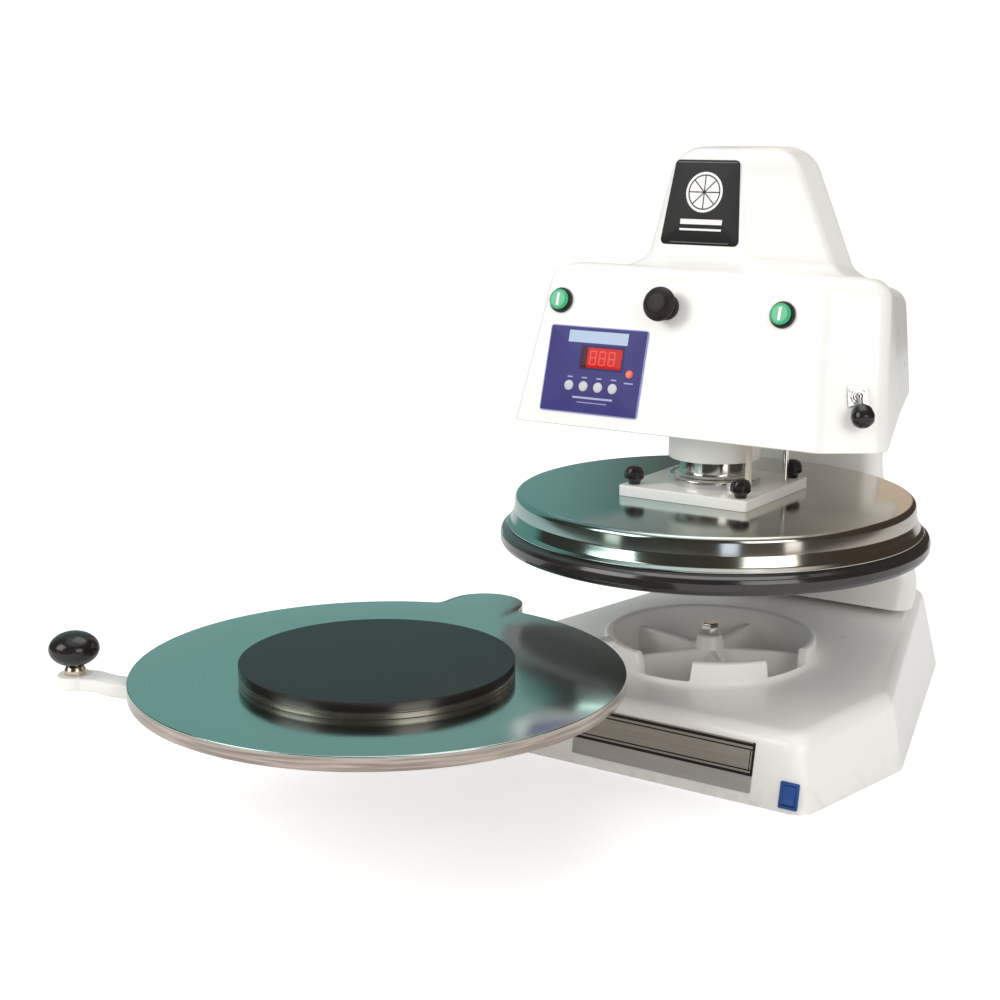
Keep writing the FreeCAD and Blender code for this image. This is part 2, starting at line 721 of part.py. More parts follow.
def head_plate():
    """Thick plate in the foot of the head, with the round boss that guides the ram."""
    low = BOSS_BOTTOM_Z - 1
    high = HEAD_PLATE_TOP_Z + 1
    wires = []
    for z in (HEAD_BOTTOM_Z, HEAD_PLATE_TOP_Z):
        outline = inset_outline(head_outline(z), COVER_WALL + SEAT_GAP)
        wires.append(flat_wire(outline, z, HEAD_CORNER_R - COVER_WALL))
    plate = loft(wires)
    plate = plate.fuse(rod(BOSS_OD / 2, BOSS_BOTTOM_Z, HEAD_BOTTOM_Z + 1))
    plate = plate.cut(rod(RAM_OD / 2 + RAM_BUSH_WALL, low, high))
    plate = plate.cut(rod(GUIDE_BUSH_R, low, high, GUIDE_X, GUIDE_Y))
    plate = plate.cut(rod(GROMMET_R, low, high, CONDUIT_X, CONDUIT_Y))
    for x, y in column_bolt_places():
        plate = plate.cut(rod(COLUMN_BOLT_R + HOLE_FIT, low, high, x, y))
    return plate


def ram_bush():
    bore = RAM_OD / 2 + BUSH_CLEARANCE
    return tube(RAM_OD / 2 + RAM_BUSH_WALL, bore, BOSS_BOTTOM_Z, HEAD_PLATE_TOP_Z)


def cylinder_barrel():
    return tube(CYLINDER_OD / 2, CYLINDER_BORE / 2, HEAD_PLATE_TOP_Z, CAP_LOW_Z)


def tie_rod_places():
    return [polar(CYLINDER_OD / 2 + 5.5, degrees) for degrees in (45, 135, 225, 315)]


def cylinder_cap():
    """Square end cap that the four tie rods pull down on the barrel."""
    low = CAP_LOW_Z
    cap = prism(square(CYLINDER_OD), CAP_CORNER_R, low, CYLINDER_TOP_Z)
    for x, y in tie_rod_places():
        cap = cap.cut(rod(TIE_ROD_R, low - 1, CYLINDER_TOP_Z + 1, x, y))
    return cap.cut(rod(6.0, low - 1, CYLINDER_TOP_Z + 1))


def tie_rods():
    low = HEAD_PLATE_TOP_Z
    rods = []
    for x, y in tie_rod_places():
        nut = hexagon(13.0, CYLINDER_TOP_Z, CYLINDER_TOP_Z + 6.5, x, y)
        rods.append(rod(TIE_ROD_R, low, CYLINDER_TOP_Z + 10, x, y).fuse(nut))
    return Part.makeCompound(rods)


def air_valve():
    """Solenoid valve on the cylinder cap, its spigot seated in the cap's port."""
    body = box(-14, 26, -28, 28, CYLINDER_TOP_Z, CYLINDER_TOP_Z + 40)
    body = body.fuse(box(-8, 20, 28, 58, CYLINDER_TOP_Z + 8, CYLINDER_TOP_Z + 34))
    return body.fuse(rod(5.7, CYLINDER_TOP_Z - 8, CYLINDER_TOP_Z + 6))


def guide_bush():
    bore = GUIDE_R + BUSH_CLEARANCE
    return tube(GUIDE_BUSH_R, bore, HEAD_BOTTOM_Z - 3, HEAD_PLATE_TOP_Z, GUIDE_X, GUIDE_Y)


def conduit_grommet():
    bore = CONDUIT_R + SEAT_GAP
    return tube(GROMMET_R, bore, HEAD_BOTTOM_Z - 4, HEAD_PLATE_TOP_Z, CONDUIT_X, CONDUIT_Y)


def ram():
    return rod(RAM_OD / 2, PLATE_TOP_Z, PISTON_Z)


def piston():
    groove = tube(CYLINDER_BORE / 2 + 1, CYLINDER_BORE / 2 - 4, PISTON_Z + 5, PISTON_Z + 11)
    return rod(CYLINDER_BORE / 2 - 0.4, PISTON_Z, PISTON_Z + PISTON_T).cut(groove)


def piston_seal():
    return tube(CYLINDER_BORE / 2 - 0.06, CYLINDER_BORE / 2 - 4, PISTON_Z + 5, PISTON_Z + 11)


def ram_flange():
    low = PLATE_TOP_Z
    high = low + RAM_FLANGE_T
    outer = RAM_FLANGE_OD / 2
    inner = RAM_OD / 2
    profile = [(inner, low), (outer, low), (outer, high - 2), (outer - 2, high),
               (inner + 5, high), (inner, high + 3)]
    return turned(profile)


def oblong(width, height):
    x = width / 2
    y = height / 2
    return [(-x, -y), (x, -y), (x, y), (-x, y)]


def square(side):
    return oblong(side, side)


def knob_places():
    return [(sx * KNOB_OFFSET, sy * KNOB_OFFSET) for sx in (-1, 1) for sy in (-1, 1)]


def carrier_plate():
    plate = prism(square(PLATE_SIDE), PLATE_CORNER_R, PLATE_BOTTOM_Z, PLATE_TOP_Z)
    for x, y in knob_places():
        plate = plate.cut(rod(STUD_R, PLATE_BOTTOM_Z - 1, PLATE_TOP_Z + 1, x, y))
    return plate


def clamp_studs():
    """Shouldered studs: the shoulder holds the cover above the heated platen."""
    low = HEATED_FACE_Z + HEATED_T
    studs = []
    for x, y in knob_places():
        shoulder = rod(STUD_SHOULDER_R, low, COVER_TOP_Z - COVER_SHEET, x, y)
        studs.append(shoulder.fuse(rod(STUD_R, low + 1, PLATE_TOP_Z + 6, x, y)))
    return Part.makeCompound(studs)


def clamp_knobs():
    """Four black knobs, screwed down on the studs at the corners of the carrier plate."""
    knobs = []
    for x, y in knob_places():
        low = PLATE_TOP_Z
        top = low + KNOB_H
        profile = [(0, low + 6), (STUD_R, low + 6), (STUD_R, low), (6.5, low), (7.5, low + 4),
                   (KNOB_R, low + 8), (KNOB_R, top - 7), (KNOB_R - 3, top - 2), (5, top), (0, top)]
        knobs.append(turned(profile, x, y))
    return Part.makeCompound(knobs)


def guide_rod():
    return rod(GUIDE_R, PLATE_TOP_Z, HEAD_PLATE_TOP_Z + PRESS_TRAVEL + 14, GUIDE_X, GUIDE_Y)


def heater_conduit():
    return rod(CONDUIT_R, PLATE_TOP_Z, HEAD_PLATE_TOP_Z + PRESS_TRAVEL + 20, CONDUIT_X, CONDUIT_Y)


def platen_cover():
    """Spun chrome cover: flat top, steep skirt and an outward bead at its foot."""
    t = COVER_SHEET
    top = COVER_TOP_Z
    r = COVER_TOP_R
    foot_r = COVER_SKIRT_R
    foot = COVER_SKIRT_Z
    outer = [(0, top), (r - 5, top), (r - 1.5, top - 1.5), (r, top - 5),
             (r + 2, top - 20), (foot_r, foot + 4), (foot_r + 4, foot)]
    inner = [(foot_r + 4, foot - t + 0.5), (foot_r - t, foot + 3),
             (r + 2 - t, top - 20), (r - t, top - 6), (r - 6, top - t), (0, top - t)]
    cover = turned(outer + inner)
    for x, y in knob_places():
        cover = cover.cut(rod(STUD_R + SEAT_GAP, top - 10, top + 1, x, y))
    return cover


def guard_ring():
    """Heat guard ring: a rounded black band with a step where the cover's bead sits."""
    r = GUARD_R
    low = GUARD_BOTTOM_Z
    high = GUARD_TOP_Z - 2.5
    bore = HEATED_OD / 2 + HOLE_FIT
    profile = [(bore, low + 5), (HEATED_OD / 2 + 6, low), (r - 7, low), (r - 2, low + 2.5), (r, low + 7),
               (r, low + 14), (r - 2, low + 18.5), (r - 6, low + 21), (r - 8, high), (bore, high)]
    return turned(profile)


def heated_platen():
    r = HEATED_OD / 2
    low = HEATED_FACE_Z
    high = low + HEATED_T
    near = ELEMENT_RING_R - ELEMENT_R
    far = ELEMENT_RING_R + ELEMENT_R
    floor = high - 2 * ELEMENT_R
    profile = [(0, low), (r - 3, low), (r, low + 3), (r, high), (far, high),
               (far, floor), (near, floor), (near, high), (0, high)]
    return turned(profile)


def heater_element():
    z = HEATED_FACE_Z + HEATED_T - ELEMENT_R - SEAT_GAP
    return Part.makeTorus(ELEMENT_RING_R, ELEMENT_R - SEAT_GAP, V(0, 0, z))


def pivot_shaft():
    return rod(SHAFT_R, 20, PLATEN_TOP_Z - 5, PIVOT_X, PIVOT_Y)


def thrust_washer():
    low = PIVOT_BOSS_TOP_Z
    return tube(THRUST_WASHER_R, SHAFT_R + BUSH_CLEARANCE, low, low + THRUST_WASHER_T, PIVOT_X, PIVOT_Y)


def stop_bolt():
    return hex_bolt(19.0, 15.0, 5.9, 30.0, 0, 0, PILLAR_TOP_Z)


def arm_bar(ax, ay, bx, by, half_a, half_b, z_low, z_high):
    """Bar between two spots whose width tapers from half_a to half_b."""
    length = math.hypot(bx - ax, by - ay)
    nx = -(by - ay) / length
    ny = (bx - ax) / length
    corners = [(ax + nx * half_a, ay + ny * half_a), (ax - nx * half_a, ay - ny * half_a),
               (bx - nx * half_b, by - ny * half_b), (bx + nx * half_b, by + ny * half_b)]
    return prism(corners, 2.0, z_low, z_high)


def swing_arm():
    """White arm under the lower platen: hub barrel, centre disc with its pad, and the handle branch."""
    top = PLATEN_TOP_Z - PLATEN_T
    low = top - ARM_T
    hub_low = PIVOT_BOSS_TOP_Z + THRUST_WASHER_T + SEAT_GAP
    arm = rod(HUB_R, hub_low, top, PIVOT_X, PIVOT_Y)
    arm = arm.fuse(arm_bar(PIVOT_X, PIVOT_Y, MOULD_X, MOULD_Y, 30.0, ARM_HALF, low, top))
    arm = arm.fuse(rod(ARM_DISC_R, low, top, MOULD_X, MOULD_Y))
    arm = arm.fuse(rod(PAD_R, low - PAD_DROP, top, MOULD_X, MOULD_Y))
    reach = math.hypot(HANDLE_X - MOULD_X, HANDLE_Y - MOULD_Y)
    ux = (HANDLE_X - MOULD_X) / reach
    uy = (HANDLE_Y - MOULD_Y) / reach
    bend = PLATEN_OD / 2 + 4.0
    kx = MOULD_X + ux * bend
    ky = MOULD_Y + uy * bend
    arm = arm.fuse(arm_bar(MOULD_X, MOULD_Y, kx, ky, ARM_HALF, 17.0, low, top))
    wires = []
    for share in (0.0, 1.0):
        x = kx + (HANDLE_X - kx) * share
        y = ky + (HANDLE_Y - ky) * share
        rise = HANDLE_RISE * share
        half = 17.0
        corners = [V(x - uy * half, y + ux * half, low + rise), V(x + uy * half, y - ux * half, low + rise),
                   V(x + uy * half, y - ux * half, top + rise), V(x - uy * half, y + ux * half, top + rise)]
        wires.append(rounded_wire(corners, 3.0))
    arm = arm.fuse(loft(wires))
    arm = arm.fuse(rod(HANDLE_BOSS_R, low + HANDLE_RISE, top + HANDLE_RISE, HANDLE_X, HANDLE_Y))
    return arm.cut(rod(SHAFT_R + BUSH_WALL, hub_low - 1, top + 1, PIVOT_X, PIVOT_Y))


def pivot_bushes():
    low = PIVOT_BOSS_TOP_Z + THRUST_WASHER_T + SEAT_GAP
    top = PLATEN_TOP_Z - PLATEN_T
    middle = (low + top) / 2
    spans = ((low, middle - 1), (middle + 1, top))
    bushes = [tube(SHAFT_R + BUSH_WALL, SHAFT_R + BUSH_CLEARANCE, a, b, PIVOT_X, PIVOT_Y) for a, b in spans]
    return Part.makeCompound(bushes)


def lower_platen():
    """Machined round plate with an ear that covers the swing pivot."""
    low = PLATEN_TOP_Z - PLATEN_T
    r = PLATEN_OD / 2
    high = PLATEN_TOP_Z
    profile = [(0, low), (r - 1.5, low), (r, low + 1.5), (r, high - 1), (r - 1, high), (0, high)]
    plate = turned(profile, PLATEN_X, PLATEN_Y)
    ear = rod(EAR_R, low, PLATEN_TOP_Z, PIVOT_X, PIVOT_Y)
    neck = arm_bar(PIVOT_X, PIVOT_Y, PLATEN_X, PLATEN_Y, EAR_R - 0.5, EAR_R + 26, low, PLATEN_TOP_Z)
    plate = plate.fuse(ear).fuse(neck)
    return plate.cut(rod(SHAFT_R + 1, low - 1, PLATEN_TOP_Z - 4, PIVOT_X, PIVOT_Y))


def mould_disc():
    """Round mould: a thick disc with a fine groove turned in its edge."""
    r = MOULD_OD / 2
    low = PLATEN_TOP_Z
    high = low + MOULD_T
    profile = [(0, low), (r, low), (r, low + 5.5), (r - 1.2, low + 6.2), (r - 1.2, low + 7.2), (r, low + 7.9),
               (r, high - 1.2), (r - 1.2, high), (0, high)]
    return turned(profile, MOULD_X, MOULD_Y)


def handle_ferrule():
    low = PLATEN_TOP_Z - PLATEN_T + HANDLE_RISE
    profile = [(0, low), (FERRULE_R, low), (FERRULE_R, low + 5),
               (FERRULE_R - 2, low + FERRULE_H), (5, low + FERRULE_H),
               (5, low + FERRULE_H + 12), (0, low + FERRULE_H + 12)]
    return turned(profile, HANDLE_X, HANDLE_Y)


def handle_knob():
    low = PLATEN_TOP_Z - PLATEN_T + HANDLE_RISE + FERRULE_H
    centre = low + 0.5 * HANDLE_KNOB_H
    profile = [(5, low + 12), (0, low + 12), (0, low + HANDLE_KNOB_H)]
    for degrees in range(80, -90, -10):
        r = HANDLE_KNOB_R * math.cos(math.radians(degrees))
        z = centre + 0.5 * HANDLE_KNOB_H * math.sin(math.radians(degrees))
        if r > 8:
            profile.append((r, z))
    profile.append((8, low))
    profile.append((5, low))
    return turned(profile, HANDLE_X, HANDLE_Y)


def button_bezel(x, stem_r, cap_r):
    """Black ring and barrel of a panel button, with the nut behind the panel."""
    floor = BEZEL_FLOOR
    bezel = rod(BEZEL_R, 0, BEZEL_H).cut(rod(cap_r + SEAT_GAP, floor, BEZEL_H + 1))
    barrel = rod(PANEL_HOLE_R, -BARREL_DEPTH, 0.5)
    nut = rod(BEZEL_R - 2.5, -COVER_WALL - 5, -COVER_WALL - 0.1)
    body = bezel.fuse(barrel).fuse(nut).cut(rod(stem_r + SLIDE_CLEARANCE, -BARREL_DEPTH - 1, floor + 1))
    return on_front(body, x, BUTTON_ROW_Z)


def button_bezels():
    bezels = [button_bezel(GREEN_LEFT_X, GREEN_STEM_R, GREEN_CAP_R)]
    bezels.append(button_bezel(STOP_X, MUSHROOM_STEM_R, MUSHROOM_STEM_R + 1.5))
    bezels.append(button_bezel(GREEN_RIGHT_X, GREEN_STEM_R, GREEN_CAP_R))
    return Part.makeCompound(bezels)


def start_button(x):
    """Green cap with its stem; it stands proud of the bezel by CAP_PROUD."""
    low = BEZEL_FLOOR + BUTTON_TRAVEL + SEAT_GAP
    top = BEZEL_H + CAP_PROUD
    cap = rod(GREEN_CAP_R, low, top)
    cap = cap.makeChamfer(1.2, [edge for edge in cap.Edges if edge.BoundBox.ZMin > top - 0.1])
    stem = rod(GREEN_STEM_R, -BARREL_DEPTH + BUTTON_TRAVEL + SEAT_GAP, low + 0.5)
    return on_front(cap.fuse(stem), x, BUTTON_ROW_Z)


def contact_block(x):
    half = CONTACT_BLOCK_W / 2
    block = box(-half, half, -half, half, -BARREL_DEPTH - CONTACT_BLOCK_DEPTH, -BARREL_DEPTH)
    return on_front(block, x, BUTTON_ROW_Z)


def stop_button():
    """Black mushroom head on its stem."""
    low = MUSHROOM_STEM_H
    high = low + MUSHROOM_CAP_H
    back = -BARREL_DEPTH + BUTTON_TRAVEL + SEAT_GAP
    profile = [(0, back), (MUSHROOM_STEM_R, back), (MUSHROOM_STEM_R, low), (MUSHROOM_R - 2, low), (MUSHROOM_R, low + 2.5),
               (MUSHROOM_R - 0.4, low + 6), (MUSHROOM_R - 3, low + 9), (MUSHROOM_R - 8, high - 1), (0, high)]
    return on_front(turned(profile), STOP_X, BUTTON_ROW_Z)


def panel_centre():
    return (PANEL_LEFT_X + PANEL_RIGHT_X) / 2, (PANEL_LOW_Z + PANEL_HIGH_Z) / 2


def key_places():
    return [(KEY_FIRST_X + i * KEY_PITCH, KEY_Z) for i in range(KEY_COUNT)]


def control_panel():
    x, z = panel_centre()
    half_w = (PANEL_RIGHT_X - PANEL_LEFT_X) / 2
    half_h = (PANEL_HIGH_Z - PANEL_LOW_Z) / 2 * math.hypot(1, HEAD_LEAN)
    corners = [(-half_w, -half_h), (half_w, -half_h), (half_w, half_h), (-half_w, half_h)]
    panel = on_front(prism(corners, 4.0, 0, PANEL_T), x, z)
    half_w = DISPLAY_W / 2 + HOLE_FIT
    half_h = DISPLAY_H / 2 + HOLE_FIT
    window = box(-half_w, half_w, -half_h, half_h, -1, PANEL_T + 1)
    panel = panel.cut(on_front(window, DISPLAY_X, DISPLAY_Z))
    panel = panel.cut(on_front(rod(LED_R - 1.7, -1, PANEL_T + 1), LED_X, LED_Z))
    for key_x, key_z in key_places():
        panel = panel.cut(on_front(rod(KEY_R + SLIDE_CLEARANCE, -1, PANEL_T + 1), key_x, key_z))
    return panel


def display_module():
    shape = box(-DISPLAY_W / 2, DISPLAY_W / 2, -DISPLAY_H / 2, DISPLAY_H / 2, -BOARD_DEPTH, PANEL_T - 0.4)
    return on_front(shape, DISPLAY_X, DISPLAY_Z)


def status_lamp():
    profile = [(0, -BOARD_DEPTH), (LED_R - 2, -BOARD_DEPTH), (LED_R - 2, PANEL_T), (LED_R, PANEL_T),
               (LED_R - 0.6, PANEL_T + 1.2),
               (LED_R - 2.5, PANEL_T + 2), (0, PANEL_T + 2.3)]
    return on_front(turned(profile), LED_X, LED_Z)


def key_cap(index):
    x, z = key_places()[index]
    back = -BOARD_DEPTH + KEY_TRAVEL + SEAT_GAP
    profile = [(0, back), (2.0, back), (2.0, 0.9), (KEY_R, 0.9),
               (KEY_R, PANEL_T + 0.5), (KEY_R - 1, PANEL_T + 1.2), (0, PANEL_T + 1.6)]
    return on_front(turned(profile), x, z)


def circuit_board():
    x, z = panel_centre()
    half_w = (PANEL_RIGHT_X - PANEL_LEFT_X) / 2 - BOARD_MARGIN
    half_h = (PANEL_HIGH_Z - PANEL_LOW_Z) / 2 - BOARD_MARGIN
    board = box(-half_w, half_w, -half_h, half_h, -BOARD_DEPTH - 1.6, -BOARD_DEPTH)
    for sx in (-1, 1):
        for sy in (-1, 1):
            post = rod(3.5, -BOARD_DEPTH - 0.5, -COVER_WALL - 0.05, sx * (half_w - 6), sy * (half_h - 6))
            board = board.fuse(post)
    return on_front(board, x, z)


def toggle_valve():
    """Shut-off valve: chrome plate and bush outside the facet, valve body behind it."""
    plate = prism(square(VALVE_PLATE), 1.5, SEAT_GAP, VALVE_PLATE_T)
    plate = plate.fuse(rod(VALVE_BUSH_R, 0, 8.0)).cut(rod(4.3, 2.5, 9))
    screw = VALVE_PLATE / 2 - 3.8
    for sx in (-1, 1):
        plate = plate.fuse(rod(2.6, VALVE_PLATE_T - 0.5, VALVE_PLATE_T + 1.2, sx * screw, screw))
    barrel = rod(VALVE_BUSH_R - 0.1, -10, 0.5)
    body = box(-12, 12, -16, 16, -36, -10)
    return on_facet(plate.fuse(barrel).fuse(body))


def lever_arm(radius, near, far):
    arm = rod(radius, near, far)
    arm.rotate(V(0, 0, 0), V(1, 0, 0), LEVER_TILT)
    arm.translate(V(0, 0, LEVER_BALL_Z))
    return arm


def valve_lever():
    ball = Part.makeSphere(4.0, V(0, 0, LEVER_BALL_Z))
    pin = Part.makeCylinder(LEVER_PIN_R, 2 * LEVER_PIN_REACH, V(-LEVER_PIN_REACH, 0, LEVER_BALL_Z), V(1, 0, 0))
    return on_facet(ball.fuse(pin).fuse(lever_arm(LEVER_R, 0, LEVER_REACH - KNOB_BACK)))


def valve_knob():
    bore_r = LEVER_R + SLIDE_CLEARANCE
    end = LEVER_REACH - KNOB_BACK
    r = LEVER_KNOB_R
    far = LEVER_REACH
    profile = [(bore_r, end - 5), (r / 2, end - 5), (r - 2, end), (r, far),
               (r - 1.5, far + 7), (r / 2, far + 11), (0, far + 12), (0, end), (bore_r, end)]
    knob = turned(profile)
    knob.rotate(V(0, 0, 0), V(1, 0, 0), LEVER_TILT)
    knob.translate(V(0, 0, LEVER_BALL_Z))
    return on_facet(knob)


def badge_plate():
    height = (BADGE_HIGH_Z - BADGE_LOW_Z) * math.hypot(1, TOWER_LEAN)
    low = BADGE_BOTTOM_W / 2
    high = BADGE_TOP_W / 2
    corners = [(-low, -height / 2), (low, -height / 2), (high, height / 2), (-high, height / 2)]
    frame = tower_front_frame(BADGE_X, (BADGE_LOW_Z + BADGE_HIGH_Z) / 2)
    return placed(prism(corners, 6.0, 0, BADGE_T), frame)


def label_plate():
    half_w = (LABEL_RIGHT_X - LABEL_LEFT_X) / 2
    half_h = (LABEL_HIGH_Z - LABEL_LOW_Z) / 2 * math.hypot(1, BASE_FRONT_LEAN)
    corners = [(-half_w, -half_h), (half_w, -half_h), (half_w, half_h), (-half_w, half_h)]
    frame = base_front_frame((LABEL_LEFT_X + LABEL_RIGHT_X) / 2, (LABEL_LOW_Z + LABEL_HIGH_Z) / 2)
    return placed(prism(corners, 1.5, 0, LABEL_T), frame)


def rocker_frame():
    flange = prism(oblong(ROCKER_BEZEL_W, ROCKER_BEZEL_H), 1.5, 0, ROCKER_BEZEL_T)
    half_w = ROCKER_BODY_W / 2
    half_h = ROCKER_BODY_H / 2
    housing = box(-half_w, half_w, -half_h, half_h, -ROCKER_DEPTH, 0.5)
    cavity = box(-ROCKER_W / 2 - SEAT_GAP, ROCKER_W / 2 + SEAT_GAP, -ROCKER_H / 2 - 1, ROCKER_H / 2 + 1, -9, 5)
    return placed(flange.fuse(housing).cut(cavity), base_front_frame(ROCKER_X, ROCKER_Z))


def rocker():
    half_h = ROCKER_H / 2
    outline = [(-half_h, -5), (0, -8), (half_h, -5), (half_h, 3.2), (half_h / 2, 2.0), (0, 1.6),
               (-half_h / 2, 2.0), (-half_h, 3.2)]
    points = [V(-ROCKER_W / 2, y, z) for y, z in outline]
    face = Part.Face(Part.makePolygon(points + [points[0]]))
    pin_reach = ROCKER_W / 2 + SLIDE_CLEARANCE
    pin = Part.makeCylinder(ROCKER_PIN_R, 2 * pin_reach, V(-pin_reach, 0, 0), V(1, 0, 0))
    shape = face.extrude(V(ROCKER_W, 0, 0)).fuse(pin)
    shape.rotate(V(0, 0, 0), V(1, 0, 0), -ROCKER_SWING / 2)
    return placed(shape, base_front_frame(ROCKER_X, ROCKER_Z))


def power_inlet():
    flange = prism(oblong(INLET_FLANGE_W, INLET_FLANGE_H), 6.0, 0, 2.5)
    body_w = INLET_BODY_W / 2
    body_h = INLET_BODY_H / 2
    body = box(-body_w, body_w, -body_h, body_h, -24, 0.5)
    cavity = box(INLET_WALL - body_w, body_w - INLET_WALL, INLET_WALL - body_h, body_h - INLET_WALL, -16, 5)
    shape = flange.fuse(body).cut(cavity)
    for x, y in ((-6, -1), (6, -1), (0, 2)):
        shape = shape.fuse(box(x - 1, x + 1, y - 2, y + 2, -17, -3))
    return placed(shape, base_rear_frame(INLET_X))


def air_inlet():
    """Brass bulkhead fitting with an open threaded port to the rear."""
    body = rod(AIR_BODY_R, -18, 0.5).fuse(hexagon(19.0, 0, 8.0))
    nut = hexagon(19.0, -BASE_WALL - 5.5, -BASE_WALL)
    port = rod(AIR_PORT_R, 8.0 - AIR_PORT_LENGTH, 9.0)
    return placed(body.fuse(nut).cut(port).cut(rod(3.0, -19, 9)), base_rear_frame(AIR_X))


def build_frame():
    write("base_casting", base_casting())
    write("bottom_cover", bottom_cover())
    write("column_casting", column_casting())
    write("column_bolts", column_bolts())
    write("head_plate", head_plate())
    write("head_cover", head_cover())
    write("rear_cover", rear_cover())
    write("tower_cover", tower_cover())
    write("ram_bush", ram_bush())
    write("guide_bush", guide_bush())
    write("conduit_grommet", conduit_grommet())
    write("cylinder_barrel", cylinder_barrel())
    write("cylinder_cap", cylinder_cap())
    write("tie_rods", tie_rods())
    write("air_valve", air_valve())
    write("pivot_shaft", pivot_shaft())
    write("thrust_washer", thrust_washer())
    write("stop_bolt", stop_bolt())
    write("badge_plate", badge_plate())
    write("label_plate", label_plate())
    write("rocker_frame", rocker_frame())
    write("power_inlet", power_inlet())
    write("air_inlet", air_inlet())


def build_upper_platen():
    write("ram", ram())
    write("piston", piston())
    write("piston_seal", piston_seal())
    write("ram_flange", ram_flange())
    write("carrier_plate", carrier_plate())
    write("clamp_studs", clamp_studs())
    write("clamp_knobs", clamp_knobs())
    write("guide_rod", guide_rod())
    write("heater_conduit", heater_conduit())
    write("platen_cover", platen_cover())
    write("guard_ring", guard_ring())
    write("heated_platen", heated_platen())
    write("heater_element", heater_element())


def build_swing_platen():
    write("swing_arm", swing_arm())
    write("pivot_bushes", pivot_bushes())
    write("lower_platen", lower_platen())
    write("mould_disc", mould_disc())
    write("handle_ferrule", handle_ferrule())
    write("handle_knob", handle_knob())


def build_controls():
    write("button_bezels", button_bezels())
    write("start_button_left", start_button(GREEN_LEFT_X))
    write("start_button_right", start_button(GREEN_RIGHT_X))
    write("stop_button", stop_button())
    blocks = [contact_block(x) for x in (GREEN_LEFT_X, STOP_X, GREEN_RIGHT_X)]
    write("contact_blocks", Part.makeCompound(blocks))
    write("control_panel", control_panel())
    write("display_module", display_module())
    write("status_lamp", status_lamp())
    for index in range(KEY_COUNT):
        write("panel_key_%d" % (index + 1), key_cap(index))
    write("circuit_board", circuit_board())
    write("toggle_valve", toggle_valve())
    write("valve_lever", valve_lever())
    write("valve_knob", valve_knob())
    write("rocker", rocker())


os.makedirs("parts", exist_ok=True)
build_frame()
build_upper_platen()
build_swing_platen()
build_controls()
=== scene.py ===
# Pizza dough press: a white cast frame, a heated upper platen on an air ram and a lower platen that swings out.
# Sizes below are in millimetres in the frame of the CAD model; skin() turns them to metres.
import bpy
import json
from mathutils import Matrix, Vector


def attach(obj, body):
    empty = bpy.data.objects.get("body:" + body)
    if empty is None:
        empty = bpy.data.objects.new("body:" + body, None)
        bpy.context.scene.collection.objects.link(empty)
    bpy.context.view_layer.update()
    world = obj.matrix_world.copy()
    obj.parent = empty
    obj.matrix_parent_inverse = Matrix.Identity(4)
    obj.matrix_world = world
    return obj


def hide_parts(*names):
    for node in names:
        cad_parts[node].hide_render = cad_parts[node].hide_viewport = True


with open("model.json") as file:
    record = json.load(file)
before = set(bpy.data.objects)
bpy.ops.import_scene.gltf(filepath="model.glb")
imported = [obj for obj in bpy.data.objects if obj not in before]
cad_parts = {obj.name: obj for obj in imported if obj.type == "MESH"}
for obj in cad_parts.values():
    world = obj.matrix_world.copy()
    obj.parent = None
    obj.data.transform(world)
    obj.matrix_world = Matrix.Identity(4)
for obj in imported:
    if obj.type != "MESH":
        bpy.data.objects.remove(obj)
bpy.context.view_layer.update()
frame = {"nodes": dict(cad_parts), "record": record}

import json
import math
import bmesh
import bpy
import numpy as np

# Studio: the camera stands in front and to the right, a little above the platens. The floor is a large pale
# sheet, lit by a soft key lamp on the left, a weaker fill on the right and an even white surround.
world = bpy.data.worlds.new("studio")
bpy.context.scene.world = world
bpy.context.scene.view_settings.view_transform = "Standard"

camera = bpy.data.objects.new("camera", bpy.data.cameras.new("camera"))
camera.location = (0.920, -1.818, 0.722)
camera.rotation_euler = (math.radians(77.6), 0, math.radians(34))
camera.data.lens = 62.64
camera.data.sensor_width = 36
bpy.context.scene.collection.objects.link(camera)
bpy.context.scene.camera = camera


class Wire:
    """A node socket. Sums, products and comparisons of wires and numbers add Math nodes."""

    def __init__(self, tree, socket):
        self.tree = tree
        self.socket = socket

    def add(self, kind, settings, sockets, out=0):
        """Adds a node of any kind: its settings first, then its socket values or links."""
        node = self.tree.nodes.new(kind)
        for key, value in settings.items():
            if key == "stops":
                elements = node.color_ramp.elements
                while len(elements) < len(value):
                    elements.new(1.0)
                for element, (place, colour) in zip(elements, value):
                    element.position = place
                    element.color = (*colour, 1.0)
            else:
                setattr(node, key, value)
        for key, value in sockets.items():
            if isinstance(value, Wire):
                self.tree.links.new(value.socket, node.inputs[key])
            else:
                node.inputs[key].default_value = value
        return Wire(self.tree, node.outputs[out] if node.outputs else None)

    def math(self, operation, left, right=0.0):
        return self.add("ShaderNodeMath", {"operation": operation}, {0: left, 1: right})

    def __add__(self, other):
        return self.math("ADD", self, other)

    def __radd__(self, other):
        return self.math("ADD", other, self)

    def __sub__(self, other):
        return self.math("SUBTRACT", self, other)

    def __rsub__(self, other):
        return self.math("SUBTRACT", other, self)

    def __mul__(self, other):
        return self.math("MULTIPLY", self, other)

    def __rmul__(self, other):
        return self.math("MULTIPLY", other, self)

    def __truediv__(self, other):
        return self.math("DIVIDE", self, other)

    def __gt__(self, other):
        return self.math("GREATER_THAN", self, other)

    def __lt__(self, other):
        return self.math("LESS_THAN", self, other)

    def __abs__(self):
        return self.math("ABSOLUTE", self)


